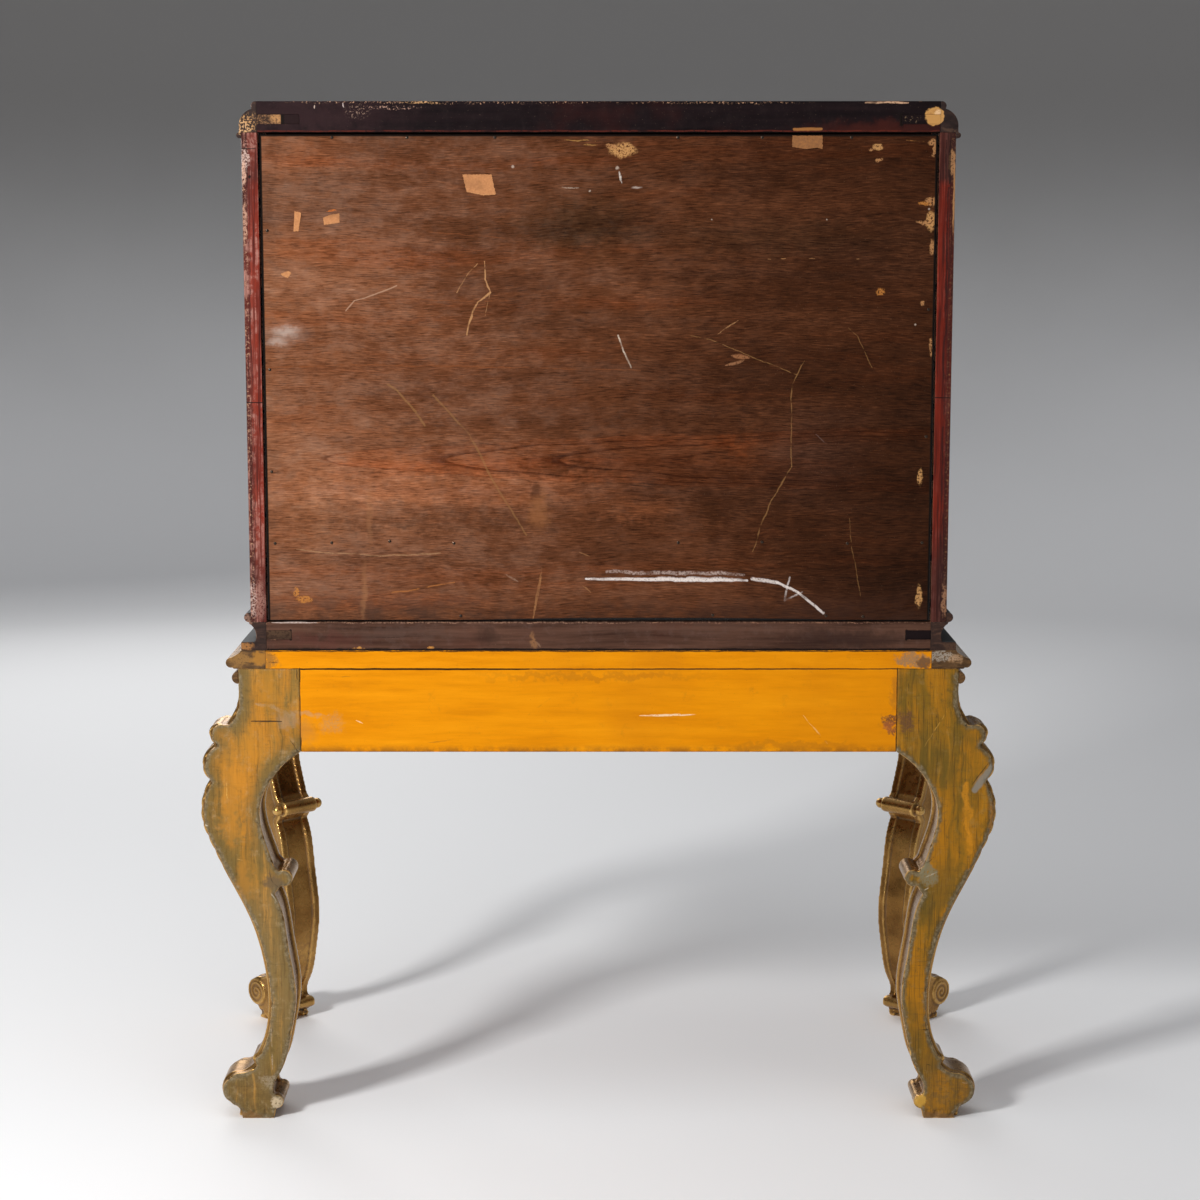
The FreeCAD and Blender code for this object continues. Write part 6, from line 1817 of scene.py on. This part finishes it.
@dataclass
class Case:
    """The lacquered case: sides, cornice, base, rails, keys and inner boards."""

    stile_marks: tuple[Mark, ...] = (
        Patch((495.5, 1399), (5.2, 15), (600, 420, 350), 0.8, 4, 0.25, 0.49),
        Patch((497.5, 1380), (3.2, 16), (600, 360, 260), 0.8, 3, 0.3, 0.44),
        Patch((488, 1420), (12, 6), (340, 165, 130), 0.6, 3, 0.35, 0.52),
        Patch((495, 778), (4.6, 24), (580, 420, 360), 0.75, 4, 0.3, 0.51),
        Patch((486, 775), (8, 26), (300, 150, 115), 0.7, 4, 0.4, 0.46),
        Patch((497.5, 1310), (2.5, 30), (500, 280, 190), 0.75, 3, 0.3, 0.46),
        Patch((-495.5, 1395), (4.8, 18), (330, 165, 70), 0.85, 3, 0.2, 0.44),
        Patch((-498.5, 1350), (1.4, 50), (400, 200, 80), 0.8, 1, 0.3),
        Patch((-495.5, 775), (4, 22), (340, 170, 90), 0.7, 4, 0.3, 0.46),
        # Painted shadow in a small hole and along three fine cross lines of the stiles.
        Patch((489, 1374.5), (1.6, 2.4), GAP_SHADOW, 0.95, 0.6, 0.15),
        Scratch((500, 1058.5), (470, 1058.5), 1.6, GAP_SHADOW, 0.9, 0.4, 0.2, taper=0.0),
        Scratch((-500, 1065.5), (-470, 1065.5), 1.6, GAP_SHADOW, 0.9, 0.4, 0.2, taper=0.0),
        Scratch((500, 1413.5), (480, 1413.5), 1.4, GAP_SHADOW, 0.9, 0.4, 0.25, taper=0.1),
        Scratch((-491.5, 1425), (-491.5, 1365), 4, (14, 6, 5), 0.8, 1, 0.34),
        Scratch((-486, 1425), (-486, 1372), 2.4, (14, 6, 5), 0.75, 1, 0.38),
        Scratch((-490, 1360), (-490, 760), 3, (24, 9, 8), 0.7, 2, 0.38, taper=0.1),
        Scratch((491, 1330), (491, 800), 2, (36, 12, 11), 0.6, 2, 0.4, taper=0.1),
    )
    top_marks: tuple[Mark, ...] = (
        Patch((410, 1460), (110, 20), (36, 16, 17), 0.6, 12, 0.9),
        Patch((-400, 1440), (90, 10), (55, 11, 7), 0.65, 6, 0.8),
        Scratch((476, 1437.8), (-476, 1437.8), 2.2, (110, 18, 10), 0.75, 0.8, 0.42, taper=0.0),
        # Painted shadow in the gap under the top rail, above the panel.
        Scratch((476, 1435.2), (-476, 1435.2), 3, GAP_SHADOW, 0.97, 0.3, 0.1, taper=0.0),
        CORNER_CHIP,
        Patch((-470, 1457.5), (11, 10.5), (330, 140, 40), 0.7, 3, 0.2, 0.55),
        Patch((-473.5, 1462.5), (5.5, 4), (720, 460, 250), 0.85, 2, 0.25, 0.42),
        Scratch((-372, 1476.8), (-432, 1477.2), 3, (560, 330, 200), 0.95, 1, 0.4, taper=0.3),
        Patch((340, 1477), (90, 1.8), (460, 260, 160), 0.9, 2, 0.4, 0.58),
        Patch((248, 1477.2), (24, 1.6), (520, 290, 130), 0.9, 2, 0.4, 0.5),
        Patch((120, 1477), (130, 1.8), (460, 260, 160), 0.9, 2, 0.4, 0.58),
        Patch((-160, 1477), (110, 1.6), (440, 240, 140), 0.9, 2, 0.4, 0.56),
        Patch((290, 1470), (40, 2.4), (460, 270, 200), 0.85, 2, 0.5, 0.57),
        Patch((338, 1464), (14, 8.5), (420, 270, 200), 0.75, 2, 0.5, 0.58),
        Scratch((396, 1476.5), (396, 1469), 1.8, (600, 440, 360), 0.8),
        Scratch((356, 1476.5), (354.5, 1469), 1.8, (600, 480, 440), 0.85, bow=1),
        Scratch((-273, 1440.5), (-311, 1440.5), 4.4, (310, 125, 36), 0.95, 1, 0.25, taper=0.1),
        # Painted shadow in the end of the -X key's slot.
        *run_of(((-423.5, 1447.5), (-423.5, 1460)), 6, GAP_SHADOW, 0.95, ragged=0.6, broken=0.1, taper=0.0),
    )
    key_marks: tuple[Mark, ...] = (
        Patch((468, 1454), (22, 8), (22, 12.5, 10.5), 0.92, 4, 0.4, 0.49),
        Patch((450, 1454), (10, 6), (470, 235, 90), 0.75, 3, 0.4, 0.47),
        Patch((426, 1454), (16.5, 30), (17, 7.8, 8), 1.0, 0.4, 0.03),
        # Painted shadow in the end of the +X key's slot.
        Scratch((441.5, 1447), (441.5, 1461), 5.2, GAP_SHADOW, 1.0, 0.4, 0.05, taper=0.0),
        Patch((-438, 1454.5), (11, 5.5), (360, 230, 130), 0.6, 3, 0.4, 0.6),
        CORNER_CHIP,
    )
    corner_marks: tuple[Mark, ...] = (
        Patch((493, 1446), (16, 16), (500, 265, 105), 0.92, 6, 0.25, 0.53),
        Patch((496, 1440), (12, 9), (560, 320, 150), 0.9, 5, 0.25, 0.51),
        Patch((488, 1475), (5, 4), (560, 420, 360), 0.75, 3, 0.35, 0.48),
        CORNER_CHIP,
        Patch((-493, 1438), (10, 4), (80, 42, 26), 0.7, 4, 0.35, 0.44),
    )
    base_marks: tuple[Mark, ...] = (
        # Pale line along the rail's top edge below the panel: pale dust, with a painted highlight on the
        # edge.
        Scratch((470, 742.4), (405, 742.4), 1.6, (620, 500, 440), 0.85, 0.4, 0.3, taper=0.5),
        Patch((190, 742.4), (290, 0.9), (300, 165, 110), 0.8, 1.2, 0.4, 0.5),
        Patch((-290, 742.4), (190, 0.9), (280, 140, 90), 0.75, 1.2, 0.4, 0.53),
        Patch((400, 716), (60, 9), (100, 32, 23), 0.5, 10, 0.9),
        Patch((280, 726), (70, 8), (95, 56, 43), 0.45, 10, 0.9),
        Patch((160, 721), (16, 10), (26, 12.5, 9), 0.55, 6, 0.8),
        Patch((-160, 733), (170, 6), (90, 50, 37), 0.3, 10, 0.9),
        Patch((-360, 720), (90, 10), (28, 14, 11), 0.55, 10, 0.9),
        Patch((345, 705), (8, 2.2), (520, 230, 50), 0.9, 2, 0.3, 0.44),
        Patch((242, 705.5), (5, 2.4), (520, 220, 50), 0.9, 2, 0.3, 0.44),
        Patch((95, 716), (4, 12), (300, 140, 58), 0.6, 4, 0.4, 0.42),
        Scratch((90, 715), (84, 706), 3, (300, 170, 100), 0.6),
        # Painted shadow in the gap under the base rail, where the case sits on the stand.
        Scratch((476, 703.2), (-476, 703.2), 3.4, GAP_SHADOW, 0.95, 0.8, 0.2, taper=0.0),
        Scratch((330, 721), (230, 722.5), 1.4, (30, 12, 8), 0.7),
        # Painted shadow in the ends of the lower keys' slots.
        Scratch((443, 718), (443, 731), 3.6, GAP_SHADOW, 0.95, 0.6, 0.1, taper=0.0),
        Scratch((-443, 718), (-443, 731), 3.6, GAP_SHADOW, 0.95, 0.6, 0.1, taper=0.0),
    )
    base_end_marks: tuple[Mark, ...] = (
        Patch((508, 708), (12, 6), (330, 140, 38), 0.85, 4, 0.3, 0.42),
        Patch((-508, 708), (12, 6), (80, 40, 22), 0.7, 4, 0.3, 0.44),
        Patch((503, 748), (7, 7), (300, 160, 110), 0.7, 4, 0.35, 0.46),
    )
    loose_key_end: float = 0.431
    slot_spare: float = 0.0058

    def build(self) -> None:
        """Dress the outer boards, then the inner ones."""
        sides, stile = SideLacquer("case_side_lacquer"), StileEdge("case_stile_edge", self.stile_marks)
        for node in ("case_side_left", "case_side_right"):
            dress(node, sides, Slot.SIDE, 0.001, back=stile)
        cornice = SawnEnd("cornice_end", marks=self.corner_marks)
        base = SawnEnd("base_moulding_end", (0.012, 0.0062, 0.005), (0.04, 0.0185, 0.0125),
                       (0.15, 0.072, 0.042), self.base_end_marks)
        for word in ("left", "right", "front"):
            dress("cornice_" + word, BLACK, Slot.BLACK, 0.0006, back=cornice)
            dress("base_moulding_" + word, BLACK, Slot.BLACK, 0.0006, back=base)
        top = RailStain("top_rail_stain", marks=self.top_marks)
        low = RailStain("base_rail_stain", (0.03, 0.0125, 0.0076), (0.128, 0.06, 0.038), 0.2, 0.4,
                        self.base_marks)
        dress("top_back_rail", top, Slot.RAIL, 0.001)
        dress("base_back_rail", low, Slot.RAIL, 0.001)
        self.keys()
        self.inside()

    def keys(self) -> Object:
        """Dress the slip keys, the loose one at +X drawn out to fill its slot."""
        keys = Bench.eased("corner_keys", 0.0005)
        points = Bench.points(keys)
        loose = (points[:, 2] > 1.0) & (points[:, 0] > 0.0) & (points[:, 0] < self.loose_key_end + 0.002)
        points[loose, 0] -= self.slot_spare
        Bench.put_points(keys, points)
        return carry(keys, "cabinet", KeyWood("corner_key_wood", self.key_marks), Slot.RAW, "corner_keys")

    @staticmethod
    def inside() -> None:
        """Dress the top, the shelf, the decks and the rails between drawers and doors."""
        dress("top_board", BlackLacquer.board("top_lacquer", "top_board", 0.03, 2), Slot.BLACK)
        for node in ("front_rail", "drawer_divider"):
            dress(node, BLACK, Slot.BLACK)
        for node in ("shelf", "drawer_deck", "base_board"):
            dress(node, RED, Slot.RED)


class Doors:
    """The pair of doors with hinges, lock and bolts."""

    def build(self) -> None:
        """Dress both doors and their metalwork."""
        for word in ("left", "right"):
            door = "door_" + word
            dress(door, BlackLacquer.board(door + "_lacquer", door, 0.034), Slot.BLACK, 0.001, door)
            dress("hinge_frame_leaves_" + word, BRASS, Slot.BRASS, 0.0003)
            dress("hinge_door_leaves_" + word, BRASS, Slot.BRASS, 0.0003, door)
            self.bright("hinge_pins_" + word, "cabinet", BRASS, Slot.BRASS)
        dress("lock_case", IRON, Slot.IRON, 0.0004, "door_right")
        dress("escutcheon", BRASS, Slot.BRASS, 0.0004, "door_right")
        for node in ("lock_keeper", "door_bolt_guides"):
            dress(node, BRASS, Slot.BRASS, 0.0004, "door_left")
        for node in ("lock_bolt", "key"):
            self.bright(node, node, IRON, Slot.IRON)
        for node in ("door_bolt_upper", "door_bolt_lower"):
            self.bright(node, node, BRASS, Slot.BRASS)

    @staticmethod
    def bright(node: str, body: str, finish: Finish, slot: Slot) -> Object:
        """Dress a small turned or filed piece of metal."""
        piece = Bench.smooth(Bench.copy_of(node, node + "_shown"), 34.0)
        return carry(piece, body, finish, slot, node)


class Drawers:
    """The pair of drawers under the doors."""

    def build(self) -> None:
        """Dress both drawers."""
        oak = {
            "sides": PlainTimber("drawer_side_oak", Run.Y),
            "back": PlainTimber("drawer_back_oak", Run.X),
            "bottom": PlainTimber("drawer_bottom_oak", Run.X, (0.2, 0.105, 0.042), (0.43, 0.26, 0.12)),
        }
        for word in ("left", "right"):
            body, node = "drawer_" + word, "drawer_front_" + word
            dress(node, BlackLacquer.board(node + "_lacquer", node, 0.014), Slot.BLACK, 0.001, body)
            for lining, timber in oak.items():
                dress(f"drawer_{lining}_{word}", timber, Slot.DRAWER, 0.0008, body)
            Doors.bright("drawer_pull_" + word, body, BRASS, Slot.BRASS)


@dataclass
class Studio:
    """Camera, lamps and the pale drum that the cabinet stands in."""

    lens: float = 76.2
    tilt: float = 81.6
    eye: Triple = (-0.002, 3.89, 1.308)
    drum_radius: float = 7.0
    drum_height: float = 5.0
    drum_bend: float = 2.2
    lamps: tuple[tuple[str, Triple, float, float], ...] = (
        ("key_lamp", (2.55, 2.85, 2.3), 0.6, 138.0),
        ("fill_lamp", (-2.4, 3.6, 2.6), 2.6, 14.0),
        ("top_lamp", (0.3, 0.9, 4.2), 2.4, 30.0),
        ("front_lamp", (1.6, -4.0, 2.6), 2.6, 64.0),
    )
    aim: Triple = (0.0, 0.1, 0.85)
    sensor: float = 36.0
    clip: float = 60.0
    air: Colour = (0.92, 0.94, 1.0)
    air_strength: float = 0.34

    def build(self) -> None:
        """Set up the view, the lamps and the backdrop."""
        self.camera()
        self.drum()
        self.light()
        bpy.context.scene.view_settings.view_transform = "Standard"

    def camera(self) -> None:
        """Place the camera where the photograph was taken from."""
        camera = Bench.added("Camera", bpy.ops.object.camera_add, location=self.eye,
                             rotation=(math.radians(self.tilt), 0.0, math.pi))
        camera.data.lens = self.lens
        camera.data.sensor_width = self.sensor
        camera.data.clip_end = self.clip
        bpy.context.scene.camera = camera

    def drum(self) -> None:
        """Make a round floor that bends up into a backdrop."""
        drum = Bench.added("studio_floor", bpy.ops.mesh.primitive_cylinder_add, vertices=96,
                           radius=self.drum_radius, depth=self.drum_height,
                           location=(0.0, 0.0, self.drum_height / 2))
        Bench.settle(drum)
        with Bench.editing(drum, "DESELECT"):
            Bench.pick(drum, "FACE", lambda face: face.normal.z > 0.9)
            bpy.ops.mesh.delete(type="FACE")
            Bench.pick(drum, "EDGE",
                       lambda edge: all(drum.data.vertices[v].co.z < 0.01 for v in edge.vertices))
            bpy.ops.mesh.bevel(offset=self.drum_bend, segments=16)
            bpy.ops.mesh.select_all(action="SELECT")
            bpy.ops.mesh.flip_normals()
        Bench.smooth(drum, 40.0)
        drum.data.materials.append(StudioFloor("studio_floor").material())

    def light(self) -> None:
        """Hang the lamps and set the world's soft light."""
        for name, place, size, power in self.lamps:
            lamp = Bench.added(name, bpy.ops.object.light_add, type="AREA", location=place)
            lamp.data.size = size
            lamp.data.energy = power
            lamp.rotation_euler = (Vector(self.aim) - Vector(place)).to_track_quat("-Z", "Y").to_euler()
        world = bpy.data.worlds.new("studio_air")
        world.use_nodes = True
        background = world.node_tree.nodes["Background"]
        background.inputs["Color"].default_value = (*self.air, 1.0)
        background.inputs["Strength"].default_value = self.air_strength
        bpy.context.scene.world = world


def main() -> None:
    """Build the stage and the cabinet's assemblies in order."""
    logging.basicConfig(level=logging.INFO, format="%(message)s")
    for assembly in (Studio(), Stand(), BackPanel(), Case(), Doors(), Drawers()):
        assembly.build()
        log.info("%s is done", type(assembly).__name__)


if __name__ == "__main__":
    main()
